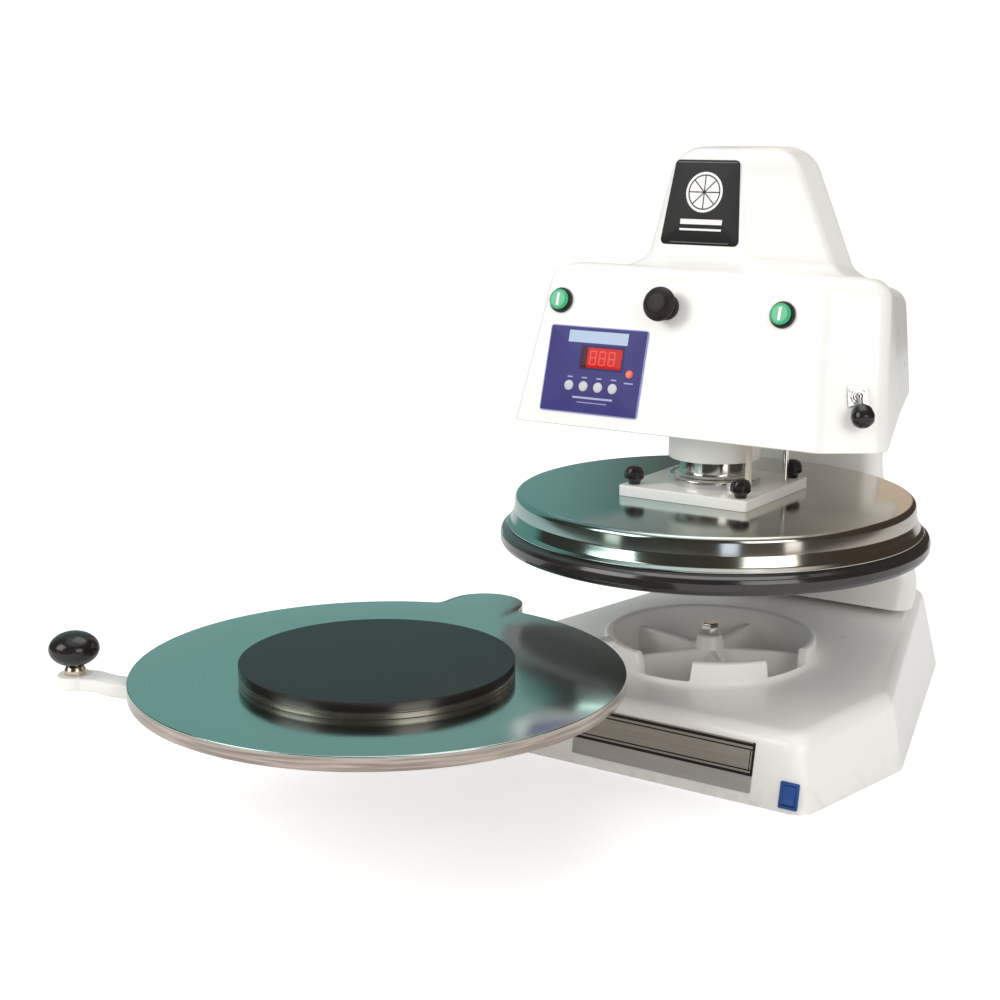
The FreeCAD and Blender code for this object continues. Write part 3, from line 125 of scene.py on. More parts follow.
world.use_nodes = True
world.node_tree.nodes.clear()
sky = Wire(world.node_tree, None)
ray = sky.add("ShaderNodeLightPath", {}, {}, "Is Camera Ray")
seen = ray + sky.add("ShaderNodeLightPath", {}, {}, "Is Glossy Ray")
seen = seen + sky.add("ShaderNodeLightPath", {}, {}, "Is Transmission Ray")
surround = sky.add("ShaderNodeBackground", {}, {"Color": (1, 1, 1, 1), "Strength": 0.64 + 0.36 * (seen > 0.5)})
sky.add("ShaderNodeOutputWorld", {}, {"Surface": surround})


def lamp(name, spot, target, size, watts, colour):
    """Square soft lamp at spot, turned to face target."""
    light = bpy.data.lights.new(name, "AREA")
    light.size = size
    light.energy = watts
    light.color = colour
    holder = bpy.data.objects.new(name, light)
    holder.location = spot
    away = Vector(target) - Vector(spot)
    holder.rotation_euler = away.to_track_quat("-Z", "Y").to_euler()
    bpy.context.scene.collection.objects.link(holder)


lamp("key_lamp", (-1.5, -2.6, 2.0), (0.0, 0.0, 0.3), 1.7, 37.0, (1.0, 0.985, 0.96))
lamp("fill_lamp", (2.6, -1.6, 1.6), (0.0, 0.0, 0.35), 1.6, 25.0, (1.0, 0.97, 0.93))
lamp("top_lamp", (-0.2, 0.4, 3.0), (0.0, -0.1, 0.2), 1.8, 15.0, (1.0, 1.0, 1.0))

floor_paint = bpy.data.materials.new("floor_paint")
floor_paint.use_nodes = True
floor_paint.node_tree.nodes.clear()
ground = Wire(floor_paint.node_tree, None)
matt = ground.add("ShaderNodeBsdfDiffuse", {}, {"Color": (0.90, 0.90, 0.90, 1)})
lift = 0.48 * ground.add("ShaderNodeLightPath", {}, {}, "Is Camera Ray")
glow = ground.add("ShaderNodeEmission", {}, {"Color": (1, 1, 1, 1), "Strength": lift})
both = ground.add("ShaderNodeAddShader", {}, {0: matt, 1: glow})
ground.add("ShaderNodeOutputMaterial", {}, {"Surface": both})
floor_mesh = bpy.data.meshes.new("floor")
floor_mesh.from_pydata([(-9, -9, 0), (9, -9, 0), (9, 9, 0), (-9, 9, 0)], [], [(0, 1, 2, 3)])
floor_mesh.materials.append(floor_paint)
floor = bpy.data.objects.new("floor", floor_mesh)
bpy.context.scene.collection.objects.link(floor)


# Base: one hollow iron casting, powder coated warm white, with a sloping top, a raised well in the middle
# whose rim is cut down at two places, a cone for the stop bolt in the well, and a boss for the platen's pivot.
def coat(name):
    """Starts a finish: returns the wire of the object coordinates, in metres."""
    material = bpy.data.materials.new(name)
    material.use_nodes = True
    material.node_tree.nodes.clear()
    start = Wire(material.node_tree, None)
    start = start.add("ShaderNodeTexCoord", {}, {}, "Object")
    start.material = material
    return start


def finish(at, **sockets):
    """Ends a finish with its Principled shader; underscores in the names stand for spaces."""
    named = {key.replace("_", " "): value for key, value in sockets.items()}
    for key, value in named.items():
        if isinstance(value, tuple):
            named[key] = (*value, 1.0)
    shader = at.add("ShaderNodeBsdfPrincipled", {}, named)
    at.add("ShaderNodeOutputMaterial", {}, {"Surface": shader})
    return at.material


def noise(at, scale, detail=3.0, stretch=(1, 1, 1)):
    """Cloudy value of 0 to 1 with features of about 1 / scale metres, drawn out by stretch."""
    moved = at.add("ShaderNodeMapping", {}, {"Vector": at, "Scale": stretch})
    return at.add("ShaderNodeTexNoise", {}, {"Vector": moved, "Scale": scale, "Detail": detail}, "Fac")


def blend(share, first, second):
    """Colour first where share is 0 and second where it is 1."""
    first = first if isinstance(first, Wire) else (*first, 1.0)
    second = second if isinstance(second, Wire) else (*second, 1.0)
    return share.add("ShaderNodeMix", {"data_type": "RGBA"}, {0: share, 6: first, 7: second}, 2)


def bumps(height, strength, depth):
    """Normal of a surface whose height varies by depth metres."""
    return height.add("ShaderNodeBump", {}, {"Height": height, "Strength": strength, "Distance": depth})


def soften(share, low, high):
    """0 below low, 1 above high, smooth between."""
    settings = {"interpolation_type": "SMOOTHSTEP"}
    return share.add("ShaderNodeMapRange", settings, {"Value": share, "From Min": low, "From Max": high})


def parts_of(at):
    """The x, y and z of a wire of coordinates."""
    return [at.add("ShaderNodeSeparateXYZ", {}, {0: at}, axis) for axis in range(3)]


def cloth():
    """Dome of studio cloth that only reflections see: teal to the left, dark brown ahead, a warm patch behind
    the machine's right side, three small windows near the floor and a bright opening overhead. A bearing b
    counts by its closeness to a middle b0, cos(b - b0) = (x cos b0 + y sin b0) / r."""
    at = coat("studio_cloth")
    x, y, z = [part * (1 / 4.2) for part in parts_of(at)]
    flat = (x * x + y * y).math("SQRT", x * x + y * y) + 0.001

    def closeness(middle):
        return (x * math.cos(math.radians(middle)) + y * math.sin(math.radians(middle))) / flat

    tone = blend(soften(closeness(154), 0.79, 0.90), (0.075, 0.062, 0.050), (0.25, 0.42, 0.40))
    tone = blend(soften(closeness(109), 0.983, 0.997), tone, (0.66, 0.56, 0.45))
    for middle, light in ((-118, (1.7, 1.6, 1.4)), (-54, (1.4, 1.5, 1.8)), (-20, (1.8, 1.75, 1.7))):
        window = soften(closeness(middle), 0.9955, 0.9965) * (z > 0.035) * (z < 0.15)
        tone = blend(window, tone, light)
    tone = blend(soften(z, 0.80, 0.93), tone, (1.0, 1.0, 1.0))
    glow = at.add("ShaderNodeEmission", {}, {"Color": tone, "Strength": 1.0})
    at.add("ShaderNodeOutputMaterial", {}, {"Surface": glow})
    return at.material


rise, round_it = np.meshgrid(np.linspace(0, np.pi / 2, 13), np.linspace(0, 2 * np.pi, 49), indexing="ij")
dome = 4.2 * np.stack((np.cos(rise) * np.cos(round_it), np.cos(rise) * np.sin(round_it), np.sin(rise)), -1)
index = np.arange(13 * 49).reshape(13, 49)
faces = np.stack((index[:-1, :-1], index[:-1, 1:], index[1:, 1:], index[1:, :-1]), -1).reshape(-1, 4)
dome_mesh = bpy.data.meshes.new("studio_dome")
dome_mesh.from_pydata(dome.reshape(-1, 3).tolist(), [], faces.tolist())
dome_mesh.materials.append(cloth())
studio = bpy.data.objects.new("studio_dome", dome_mesh)
studio.visible_camera = studio.visible_diffuse = studio.visible_shadow = studio.visible_transmission = False
bpy.context.scene.collection.objects.link(studio)


def white_enamel():
    """Warm white powder coat: slow tint changes, fine orange peel, and patchy brownish darkening towards the ground."""
    at = coat("white_enamel")
    height = parts_of(at)[2]
    cloud = noise(at, 5.0)
    peel = noise(at, 420.0, 2.0)
    tone = blend(cloud, (0.945, 0.935, 0.905), (0.915, 0.900, 0.860))
    # Patchy darker, browner tint in the lowest 35 mm, towards the ground.
    ground_darkening = (1 - soften(height, 0.0, 0.035)) * soften(noise(at, 60.0), 0.45, 0.8)
    tone = blend(0.35 * ground_darkening, tone, (0.62, 0.56, 0.47))
    return finish(at, Base_Color=tone, Roughness=0.24 + 0.12 * noise(at, 22.0), Coat_Weight=0.25,
                  Coat_Roughness=0.12, Normal=bumps(peel, 0.10, 0.0004))


enamel = white_enamel()


def skin(name, grids, body, paint, stands_for=(), crease=34.0):
    """Mesh through grids of points in millimetres, rows by columns, with a quad between each four neighbours.
    A closed grid repeats its first column or row; merging equal points closes it and its poles."""
    points, faces, count = [], [], 0
    for grid in grids:
        rows, columns = grid.shape[:2]
        index = np.arange(rows * columns).reshape(rows, columns) + count
        corners = (index[:-1, :-1], index[:-1, 1:], index[1:, 1:], index[1:, :-1])
        faces.append(np.stack(corners, -1).reshape(-1, 4))
        points.append(grid.reshape(-1, 3))
        count += rows * columns
    mesh = bpy.data.meshes.new(name)
    mesh.from_pydata(np.concatenate(points) / 1000.0, [], np.concatenate(faces).tolist())
    work = bmesh.new()
    work.from_mesh(mesh)
    bmesh.ops.remove_doubles(work, verts=work.verts, dist=2e-6)
    bmesh.ops.recalc_face_normals(work, faces=work.faces)
    work.to_mesh(mesh)
    work.free()
    mesh.shade_smooth()
    mesh.set_sharp_from_angle(angle=math.radians(crease))
    mesh.materials.append(paint)
    piece = bpy.data.objects.new(name, mesh)
    bpy.context.scene.collection.objects.link(piece)
    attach(piece, body)
    if stands_for:
        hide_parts(*stands_for)
    return piece


def inset(corners, amount):
    """Every side of a convex counter-clockwise outline moved inwards by amount, square to itself."""
    here = np.asarray(corners, float)
    along = np.roll(here, -1, 0) - here
    along /= np.linalg.norm(along, axis=1)[:, None]
    start = here + amount * np.stack((-along[:, 1], along[:, 0]), 1)
    before, behind = np.roll(start, 1, 0), np.roll(along, 1, 0)
    gap = start - before
    reach = (gap[:, 0] * along[:, 1] - gap[:, 1] * along[:, 0]) / (behind[:, 0] * along[:, 1] - behind[:, 1] * along[:, 0])
    return before + behind * reach[:, None]


def rounded(corners, radius, steps=8, between=2, closed=True):
    """Outline with each corner replaced by an arc: C - b r cos(t) + s r sin(t), where b points to the arc's
    centre C and s runs along it. The sides between arcs get extra points. Works in two or three dimensions."""
    here = np.asarray(corners, float)
    back = np.roll(here, 1, 0) - here
    ahead = np.roll(here, -1, 0) - here
    room = 0.45 * np.minimum(np.linalg.norm(back, axis=1), np.linalg.norm(ahead, axis=1))
    back /= np.linalg.norm(back, axis=1)[:, None] + 1e-12
    ahead /= np.linalg.norm(ahead, axis=1)[:, None] + 1e-12
    turn_by = (np.pi - np.arccos(np.clip((back * ahead).sum(1), -1, 1))) / 2
    turn_by = np.maximum(turn_by, 1e-5)
    reach = np.minimum(np.broadcast_to(np.asarray(radius, float), turn_by.shape) * np.tan(turn_by), room)
    arc = reach / np.tan(turn_by)
    inward = back + ahead
    inward /= np.linalg.norm(inward, axis=1)[:, None] + 1e-12
    side = ahead - back
    side /= np.linalg.norm(side, axis=1)[:, None]
    centre = here + inward * np.hypot(arc, reach)[:, None]
    turn = np.linspace(-1, 1, steps + 1)[None, :, None] * turn_by[:, None, None]
    arcs = centre[:, None] - inward[:, None] * arc[:, None, None] * np.cos(turn)
    arcs = arcs + side[:, None] * arc[:, None, None] * np.sin(turn)
    if closed:
        share = np.linspace(0, 1, between + 2)[None, 1:-1, None]
        runs = arcs[:, -1:] * (1 - share) + np.roll(arcs, -1, 0)[:, :1] * share
        line = np.concatenate((arcs, runs), 1).reshape(-1, here.shape[1])
        return np.concatenate((line, line[:1]))
    middle = arcs[1:-1].reshape(-1, here.shape[1])
    return np.concatenate((here[:1], middle, here[-1:]))


def turned(profile, centre=(0.0, 0.0), count=128):
    """Surface of revolution: (cx + r cos t, cy + r sin t, z) for every (r, z) of the profile."""
    t = np.linspace(0, 2 * np.pi, count + 1)
    r, z = np.asarray(profile, float).T
    grid = np.empty((len(r), count + 1, 3))
    grid[..., 0] = centre[0] + r[:, None] * np.cos(t)
    grid[..., 1] = centre[1] + r[:, None] * np.sin(t)
    grid[..., 2] = z[:, None]
    return grid


def stacked(rows):
    """Surface through outlines of equal count, one above the other."""
    return np.stack([np.asarray(row, float) for row in rows])


def level(line, z):
    """Flat outline lifted to height z."""
    return np.column_stack((line, np.full(len(line), float(z))))


def pole(line):
    """The outline drawn together at its middle, which closes a surface."""
    middle = line[:-1].mean(0)
    return np.repeat(middle[None], len(line), 0)


BASE_LINE = [(-224.0, -212.0), (224.0, -212.0), (258.0, -23.0), (147.0, 392.0), (-147.0, 392.0), (-258.0, -23.0)]
BASE_SLOPE = 30.0 / 604.0
BASE_LEVEL = 80.0 + BASE_SLOPE * 212.0
FRONT_LEAN = 0.2126
SIDE_DRAFT = 0.176
RING_R = 127.0
RING_TOP = 115.0
WELL_R = 116.0
WELL_FLOOR = 44.0
BASE_BETWEEN = 70


def base_row(amount, drop):
    """Outline of the base where its drafted walls, inset by amount, meet the sloping top lowered by drop:
    x = x0 - draft z, y = y0 + lean z and z = level + slope y - drop, solved for z."""
    line = inset(BASE_LINE, amount)
    lean = np.where(line[:, 1] < -24, FRONT_LEAN, np.where(line[:, 1] > -22, -SIDE_DRAFT, 0.0))
    z = (BASE_LEVEL - drop + BASE_SLOPE * line[:, 1]) / (1 - BASE_SLOPE * lean)
    x = line[:, 0] - np.sign(line[:, 0]) * SIDE_DRAFT * z
    return rounded(np.column_stack((x, line[:, 1] + lean * z, z)), 22.0 - 0.3 * amount, 8, BASE_BETWEEN)


def base_shell():
    """Skirt, rounded edge and sloping top in one grid that runs on over the well's rim and floor to the cone.
    The rim's height falls by a smooth notch around two bearings."""
    foot = level(rounded(inset(BASE_LINE, 0.0), 22.0, 8, BASE_BETWEEN), 0.0)
    foot_in = level(rounded(inset(BASE_LINE, 7.0), 20.0, 8, BASE_BETWEEN), 0.0)
    rows = [foot_in + (0, 0, 9.0), foot_in, foot * 0.93 + foot_in * 0.07, foot + (0, 0, 0.8)]
    edge = base_row(0.0, 16.0)
    rows += [foot * (1 - share) + edge * share for share in (0.02, 0.08, 0.25, 0.5, 0.75)]
    for angle in np.linspace(0, np.pi / 2, 9):
        rows.append(base_row(16.0 * (1 - np.cos(angle)), 16.0 * (1 - np.sin(angle))))
    rim = rows[-1]
    bearing = np.arctan2(rim[:, 1], rim[:, 0])
    out = np.column_stack((np.cos(bearing), np.sin(bearing)))
    cut = np.zeros(len(bearing))
    for degrees in (272.0, 344.0):
        apart = np.abs((np.degrees(bearing) - degrees + 180) % 360 - 180)
        cut = np.maximum(cut, np.clip((16.4 - apart) / 2.2, 0, 1))
    cut = cut * cut * (3 - 2 * cut)
    top = RING_TOP - 27.0 * cut

    def ring(r, z):
        return np.column_stack((out * r, np.broadcast_to(z, cut.shape)))

    plane = BASE_LEVEL + BASE_SLOPE * (out[:, 1] * RING_R)
    foot_ring = ring(RING_R + 7, BASE_LEVEL + BASE_SLOPE * out[:, 1] * (RING_R + 7))
    rows += [rim * (1 - share) + foot_ring * share for share in (0.25, 0.5, 0.75)]
    for angle in np.linspace(0, np.pi / 2, 6):
        rows.append(ring(RING_R + 7 * (1 - np.sin(angle)), plane + 7 * (1 - np.cos(angle))))
    for share in (0.4, 0.8):
        rows.append(ring(RING_R, plane + 7 + (top - 10 - plane) * share))
    for angle in np.linspace(0, np.pi, 9):
        middle = (RING_R + WELL_R) / 2
        rows.append(ring(middle + 5.5 * np.cos(angle), top - 3.5 + 3.5 * np.sin(angle)))
    for share in (0.3, 0.7, 1.0):
        rows.append(ring(WELL_R, top - 3.5 + (WELL_FLOOR + 8 + 3.5 - top) * share))
    for angle in np.linspace(0, np.pi / 2, 5)[1:]:
        rows.append(ring(WELL_R - 8 * (1 - np.cos(angle)), WELL_FLOOR + 8 * (1 - np.sin(angle))))
    cone = rounded([(WELL_R - 9, WELL_FLOOR), (30.0, WELL_FLOOR), (14.5, 112.0), (0.0, 112.0)], [0, 9, 2.5, 0], 6, 0, False)
    rows += [ring(r, z) for r, z in cone[1:]]
    return stacked(rows)


def bar(ax, ay, bx, by, half_a, half_b, low, high, edge=2.0, corner=3.0):
    """Flat bar between two spots whose half width runs from half_a to half_b, with all edges rounded."""
    way = np.array((bx - ax, by - ay), float)
    way /= np.linalg.norm(way)
    side = np.array((-way[1], way[0]))
    a, b = np.array((ax, ay)), np.array((bx, by))
    corners = [a + side * half_a, a - side * half_a, b - side * half_b, b + side * half_b]
    return slab(corners, corner, low, high, edge, edge)


def slab(corners, corner_r, low, high, edge=1.0, under=0.3):
    """Plate of rounded outline: its top edge follows edge (1 - cos t) inwards and edge (1 - sin t) down."""
    rows = []
    for angle in np.linspace(0, np.pi / 2, 5):
        line = rounded(inset(corners, under * (1 - np.sin(angle))), max(corner_r - under * (1 - np.sin(angle)), 0.05))
        rows.append(level(line, low + under * (1 - np.cos(angle))))
    for angle in np.linspace(0, np.pi / 2, 6):
        line = rounded(inset(corners, edge * (1 - np.cos(angle))), max(corner_r - edge * (1 - np.cos(angle)), 0.05))
        rows.append(level(line, high - edge * (1 - np.sin(angle))))
    return stacked([pole(rows[0])] + rows + [pole(rows[-1])])


def cylinder_profile(radius, low, high, edge=1.0):
    """(r, z) of a plain turned piece with rounded rims."""
    return rounded([(0, low), (radius, low), (radius, high), (0, high)], [0, edge, edge, 0], 5, 0, False)


PIVOT = (-186.0, -211.5)
base_grids = [base_shell(), turned(rounded([(0, 0.5), (47, 0.5), (47, 128), (15.2, 128), (15.2, 60), (0, 60)],
                                           [0, 2, 3, 0.5, 0, 0], 5, 0, False), PIVOT, 96)]
reach = math.hypot(*PIVOT)
bearing = (PIVOT[0] / reach, PIVOT[1] / reach)
base_grids.append(bar(bearing[0] * 122, bearing[1] * 122, bearing[0] * 262, bearing[1] * 262, 13, 13, 60, 116, 5, 1))
for degrees in (20, 92, 164, 236, 308):
    x, y = math.cos(math.radians(degrees)), math.sin(math.radians(degrees))
    base_grids.append(bar(x * 16, y * 16, x * 117, y * 117, 4.5, 4.5, 42, 96, 2.5, 1))
skin("base_skin", base_grids, "frame", enamel, ["base_casting"])


# Column: a hollow casting bolted between base and head. It is a trapezoid in section, its front drawn forward
# at the foot, where a wide flare runs out into the base's top.
def column_row(z, amount):
    """Outline at height z: half width 101 + 33 (1 + cos(pi s)) with s the share of the way up to the neck."""
    share = np.clip((z - 110.0) / 168.0, 0, 1)
    flare = 33.0 * (1 + math.cos(math.pi * share))
    front = 264.0 - 38.0 * (1 - min((z - 110.0) / 44.0, 1.0)) ** 2
    corners = [(-101 - flare, front), (101 + flare, front), (66 + 0.8 * flare, 366.0), (-66 - 0.8 * flare, 366.0)]
    return level(rounded(inset(corners, amount), 20.0, 10, 6), z)


heights = np.concatenate((np.linspace(0, 1, 18) ** 1.7 * 44 + 110, np.linspace(158, 278, 20), [320.0, 367.8]))
column_rows = [column_row(z, 0.0) for z in heights]
skin("column_skin", [stacked([pole(column_rows[0])] + column_rows + [pole(column_rows[-1])])], "frame",
     enamel, ["column_casting"])


# Head: a cover of sheet steel pressed in two halves, white enamelled. The front half leans back and has a
# facet at its right corner; the rear half carries the vents. Both sit round the thick head plate.
HEAD_RADII = (7, 22, 22, 6, 20, 20, 6)


def head_corners(z):
    """Corners at height z: the front leans back by 0.28 and the sides are drawn in by 0.125 of the rise."""
    rise = z - 368.0
    lean, draft = 0.28 * rise, 0.125 * rise
    return [(-221 + draft, -101 + lean), (175 - 0.8 * draft, -101 + lean), (236 - draft, -57 + lean),
            (150 - draft, 200), (92 - 0.5 * draft, 384 - 0.5 * draft), (-92 + 0.5 * draft, 384 - 0.5 * draft),
            (-150 + draft, 200)]


def head_row(z, amount):
    return level(rounded(inset(head_corners(z), amount), HEAD_RADII, 12, 24), z)


def top_height(y):
    """The head's top falls by 0.125 towards the rear from z 556 at its front edge."""
    return 556.0 - 0.125 * (y + 48.36)


def on_slope(corners_at, amount, rise):
    """Inset corners on the sloping top raised by rise: each wall's corner line P(s), z = 368 + 188 s, is cut
    at s = (top(y0) + rise - 368) / (188 + 0.125 dy), where y0 and dy are its foot and run in y."""
    low, high = inset(corners_at(368.0), amount), inset(corners_at(556.0), amount)
    run = high - low
    share = (top_height(low[:, 1]) + rise - 368.0) / (188.0 + 0.125 * run[:, 1])
    return np.column_stack((low + run * share[:, None], 368.0 + 188.0 * share))


def head_rows(shares):
    """Rows from the inner lip under the cover, round its lower rim, up the wall at the given shares of its
    height and over the rounded top edge."""
    rows = [head_row(388.0, 3.0), head_row(369.2, 3.0), head_row(368.0, 1.8), head_row(368.0, 1.0)]
    foot, brow = head_row(369.0, 0.0), rounded(on_slope(head_corners, 0.0, -22.0), HEAD_RADII, 12, 24)
    rows += [foot * (1 - share) + brow * share for share in shares]
    for angle in np.linspace(0, np.pi / 2, 12)[1:]:
        edge = on_slope(head_corners, 22.0 * (1 - math.cos(angle)), -22.0 * (1 - math.sin(angle)))
        rows.append(rounded(edge, HEAD_RADII, 12, 24))
    return stacked(rows)[:, :-1]


def to_seam(line, share, seam_y):
    """Row moved a share of the way to the seam line, where x shrinks as it goes."""
    goal = line.copy()
    goal[:, 1] = seam_y
    goal[:, 2] = top_height(seam_y)
    goal[:, 0] = line[:, 0] * abs(line[0, 0]) / abs(line[:, 0]).max()
    return line * (1 - share) + goal * share


PER_CORNER = 13 + 24
front_index = np.arange(6 * PER_CORNER + 6, 7 * PER_CORNER + 3 * PER_CORNER + 7) % (7 * PER_CORNER)
rear_index = np.arange(3 * PER_CORNER + 6, 6 * PER_CORNER + 7)
front_half = head_rows(np.linspace(0, 1, 7))[:, front_index]
front_half[:, 0, 1] = front_half[:, -1, 1] = 199.7
caps = [to_seam(front_half[-1], share, 199.7) for share in (0.2, 0.5, 1.0)]
skin("head_cover_skin", [np.concatenate((front_half, np.stack(caps)))], "frame", enamel, ["head_cover"])

slot_heights = np.add.outer(398.0 + 12.0 * np.arange(5), (0.0, 5.0)).ravel()
brow_height = on_slope(head_corners, 0.0, -22.0)[4, 2]
shares = np.concatenate(([0.0], (slot_heights - 369.0) / (brow_height - 369.0), [1.0]))
rear_half = head_rows(shares)[:, rear_index]
rear_half[:, 0, 1] = rear_half[:, -1, 1] = 200.3
caps = [to_seam(rear_half[-1], share, 200.3) for share in (0.3, 0.65, 1.0)]
rear_half = np.concatenate((rear_half, np.stack(caps)))
wide = np.flatnonzero(abs(rear_half[6, :, 0]) <= 38.5)
left, right = wide[0], wide[-1]
rear_grids = [rear_half[:, :left + 1], rear_half[:, right:], rear_half[:6, left:right + 1]]
for row in range(5, 15, 2):
    mouth = rear_half[[row, row, row + 1, row + 1, row], [left, right, right, left, left]]
    rear_grids.append(np.stack((mouth, mouth - (0, 3.0, 0))))
    rear_grids.append(rear_half[row + 1:row + 3, left:right + 1])
rear_grids.append(rear_half[15:, left:right + 1])
skin("rear_cover_skin", rear_grids, "frame", enamel, ["rear_cover"])


# Tower: a taller pressed cover on top of the head for the air valve, with a narrower front and a soft
# flare at its foot where it meets the head's sloping top.
def tower_corners(z):
    """Corners at height z: the front leans back by 0.2, the right side is drawn in by 0.42 of the rise."""
    rise = z - 556.0
    small, front, right = 0.2 * rise, -6 + 0.2 * rise, 113 - 0.42 * rise
    return [(-96 + small, front), (38 - small, front), (right, 64), (right, 118), (56 - small, 192 - small),
            (-56 + small, 192 - small), (-110 + small, 118), (-110 + small, 64)]


def tower_ring(corners):
    return rounded(corners, 16.0, 10, 4)


rows = []
for angle in np.linspace(0, np.pi / 2, 8)[:-1]:
    foot = on_slope(tower_corners, -18 * (1 - math.sin(angle)) ** 2, 0.1 + 18 * math.sin(angle))
    rows.append(tower_ring(foot))
waist = tower_ring(on_slope(tower_corners, 0.0, 28.8))
shoulder = level(tower_ring(inset(tower_corners(662.0), 0.0)), 662.0)
rows += [waist * (1 - share) + shoulder * share for share in np.linspace(0, 1, 6)]
for angle in np.linspace(0, np.pi / 2, 12)[1:]:
    z = 688.0 - 26 * (1 - math.sin(angle))
    rows.append(level(tower_ring(inset(tower_corners(z), 26 * (1 - math.cos(angle)))), z))
skin("tower_skin", [stacked([pole(rows[0])] + rows + [pole(rows[-1])])], "frame", enamel, ["tower_cover"])


# Head plate: the thick cast plate at the head's underside with the round boss that guides the ram.
def ring_profile(outer, inner, low, high, edge=1.0):
    """Closed (r, z) profile of a turned ring with rounded edges."""
    return rounded([(outer, low), (outer, high), (inner, high), (inner, low)], edge, 5, 0)


plate_rows = [head_row(z, 3.4) for z in (368.6, 381.0)]
plate_grids = [stacked([pole(plate_rows[0])] + plate_rows + [pole(plate_rows[-1])])]
plate_grids.append(turned(ring_profile(54.5, 45.6, 331.0, 370.0, 1.6), count=128))
skin("head_plate_skin", plate_grids, "frame", enamel, ["head_plate"])


# Ram, flange and carrier: a polished chrome ram with a bolted flange drives a white square plate.
def polished_chrome(name, tint, low_rough, high_rough):
    """Chrome plate: near mirror, with faint smudges and hairlines in its gloss."""
    at = coat(name)
    smudge = noise(at, 18.0, 4.0)
    hair = noise(at, 900.0, 2.0, (0.05, 1, 1))
    rough = low_rough + (high_rough - low_rough) * smudge + 0.03 * hair
    tone = blend(smudge, tint, tuple(0.93 * part for part in tint))
    return finish(at, Base_Color=tone, Metallic=1.0, Roughness=rough, Normal=bumps(hair, 0.03, 0.0002))


chrome = polished_chrome("polished_chrome", (0.78, 0.775, 0.765), 0.06, 0.16)
ram_profile = rounded([(0, 301), (40.5, 301), (40.5, 431.5), (0, 431.5)], [0, 0.6, 0.6, 0], 4, 0, False)
skin("ram_skin", [turned(ram_profile)], "upper_platen", chrome, ["ram"])
flange_profile = rounded([(40.6, 301), (55, 301), (55, 309), (52.5, 311.2), (46, 311.2), (44, 314), (40.6, 314)],
                         [0.1, 0.5, 1.4, 1.0, 0.8, 0.8, 0.1], 5, 0)
skin("ram_flange_skin", [turned(flange_profile)], "upper_platen", chrome, ["ram_flange"])
HALF = 83.0
plate = slab([(-HALF, -HALF), (HALF, -HALF), (HALF, HALF), (-HALF, HALF)], 4.0, 288.0, 301.0, 1.2, 0.8)
skin("carrier_plate_skin", [plate], "upper_platen", enamel, ["carrier_plate"])


# Clamp knobs: four black moulded knobs with a lobed grip, screwed down at the corners of the carrier plate.
def moulded(name, tint, rough, grain=700.0, depth=0.10, shine=0.25):
    """Moulded plastic: one colour with a faint cloud, fine grain and uneven gloss."""
    at = coat(name)
    cloud = noise(at, 25.0)
    tone = blend(cloud, tint, tuple(min(1.0, 0.82 * part + 0.012) for part in tint))
    return finish(at, Base_Color=tone, Roughness=rough + 0.12 * (cloud - 0.5), Specular_IOR_Level=shine,
                  Normal=bumps(noise(at, grain), depth, 0.0003))


def lobed(profile, centre, lobes, swell, low, high, count=120):
    """Surface of revolution whose radius swells by swell cos(lobes t) between the heights low and high."""
    grid = turned(profile, centre, count)
    t = np.linspace(0, 2 * np.pi, count + 1)
    z = grid[..., 2]
    rise = np.clip((z - low) / 2.0, 0, 1) * np.clip((high - z) / 2.0, 0, 1)
    factor = 1 + swell * rise * np.cos(lobes * t)
    grid[..., :2] = centre + (grid[..., :2] - centre) * factor[..., None]
    return grid


phenolic = moulded("black_phenolic", (0.012, 0.010, 0.010), 0.16, 500.0, 0.04, 0.45)
knob_profile = rounded([(4.1, 301.2), (6.5, 301.2), (7.5, 305), (11.6, 309), (11.6, 316), (9, 321), (4.5, 323), (0, 323)],
                       [0, 0.6, 1, 1.6, 3, 2, 1, 0], 6, 0, False)
knobs = [lobed(knob_profile, np.array((x, y)), 7, 0.035, 307.0, 318.0) for x in (-69.0, 69.0) for y in (-69.0, 69.0)]
skin("clamp_knobs_skin", knobs, "upper_platen", phenolic, ["clamp_knobs"])


# Guide rod and heater lead: a thin polished rod keeps the platen from turning; the heater's wires run up
# beside it in a cream heat-proof sleeve.
rod = cylinder_profile(3.5, 301, 434, 0.5)
skin("guide_rod_skin", [turned(rod, (73.0, 40.0), 32)], "upper_platen", chrome, ["guide_rod"])
at = coat("cream_sleeve")
weave = noise(at, 600.0, 2.0, (1, 1, 0.35))
tone = blend(weave, (0.84, 0.79, 0.66), (0.70, 0.63, 0.50))
sleeve = finish(at, Base_Color=tone, Roughness=0.75, Normal=bumps(weave, 0.4, 0.0005))
z = np.linspace(301, 439.8, 120)
radius = 3.75 + 0.22 * np.sin(z * 2.1)
profile = np.column_stack((np.concatenate(([0], radius, [0])), np.concatenate((z[:1], z, z[-1:]))))
skin("heater_conduit_skin", [turned(profile, (60.0, -32.0), 32)], "upper_platen", sleeve, ["heater_conduit"])
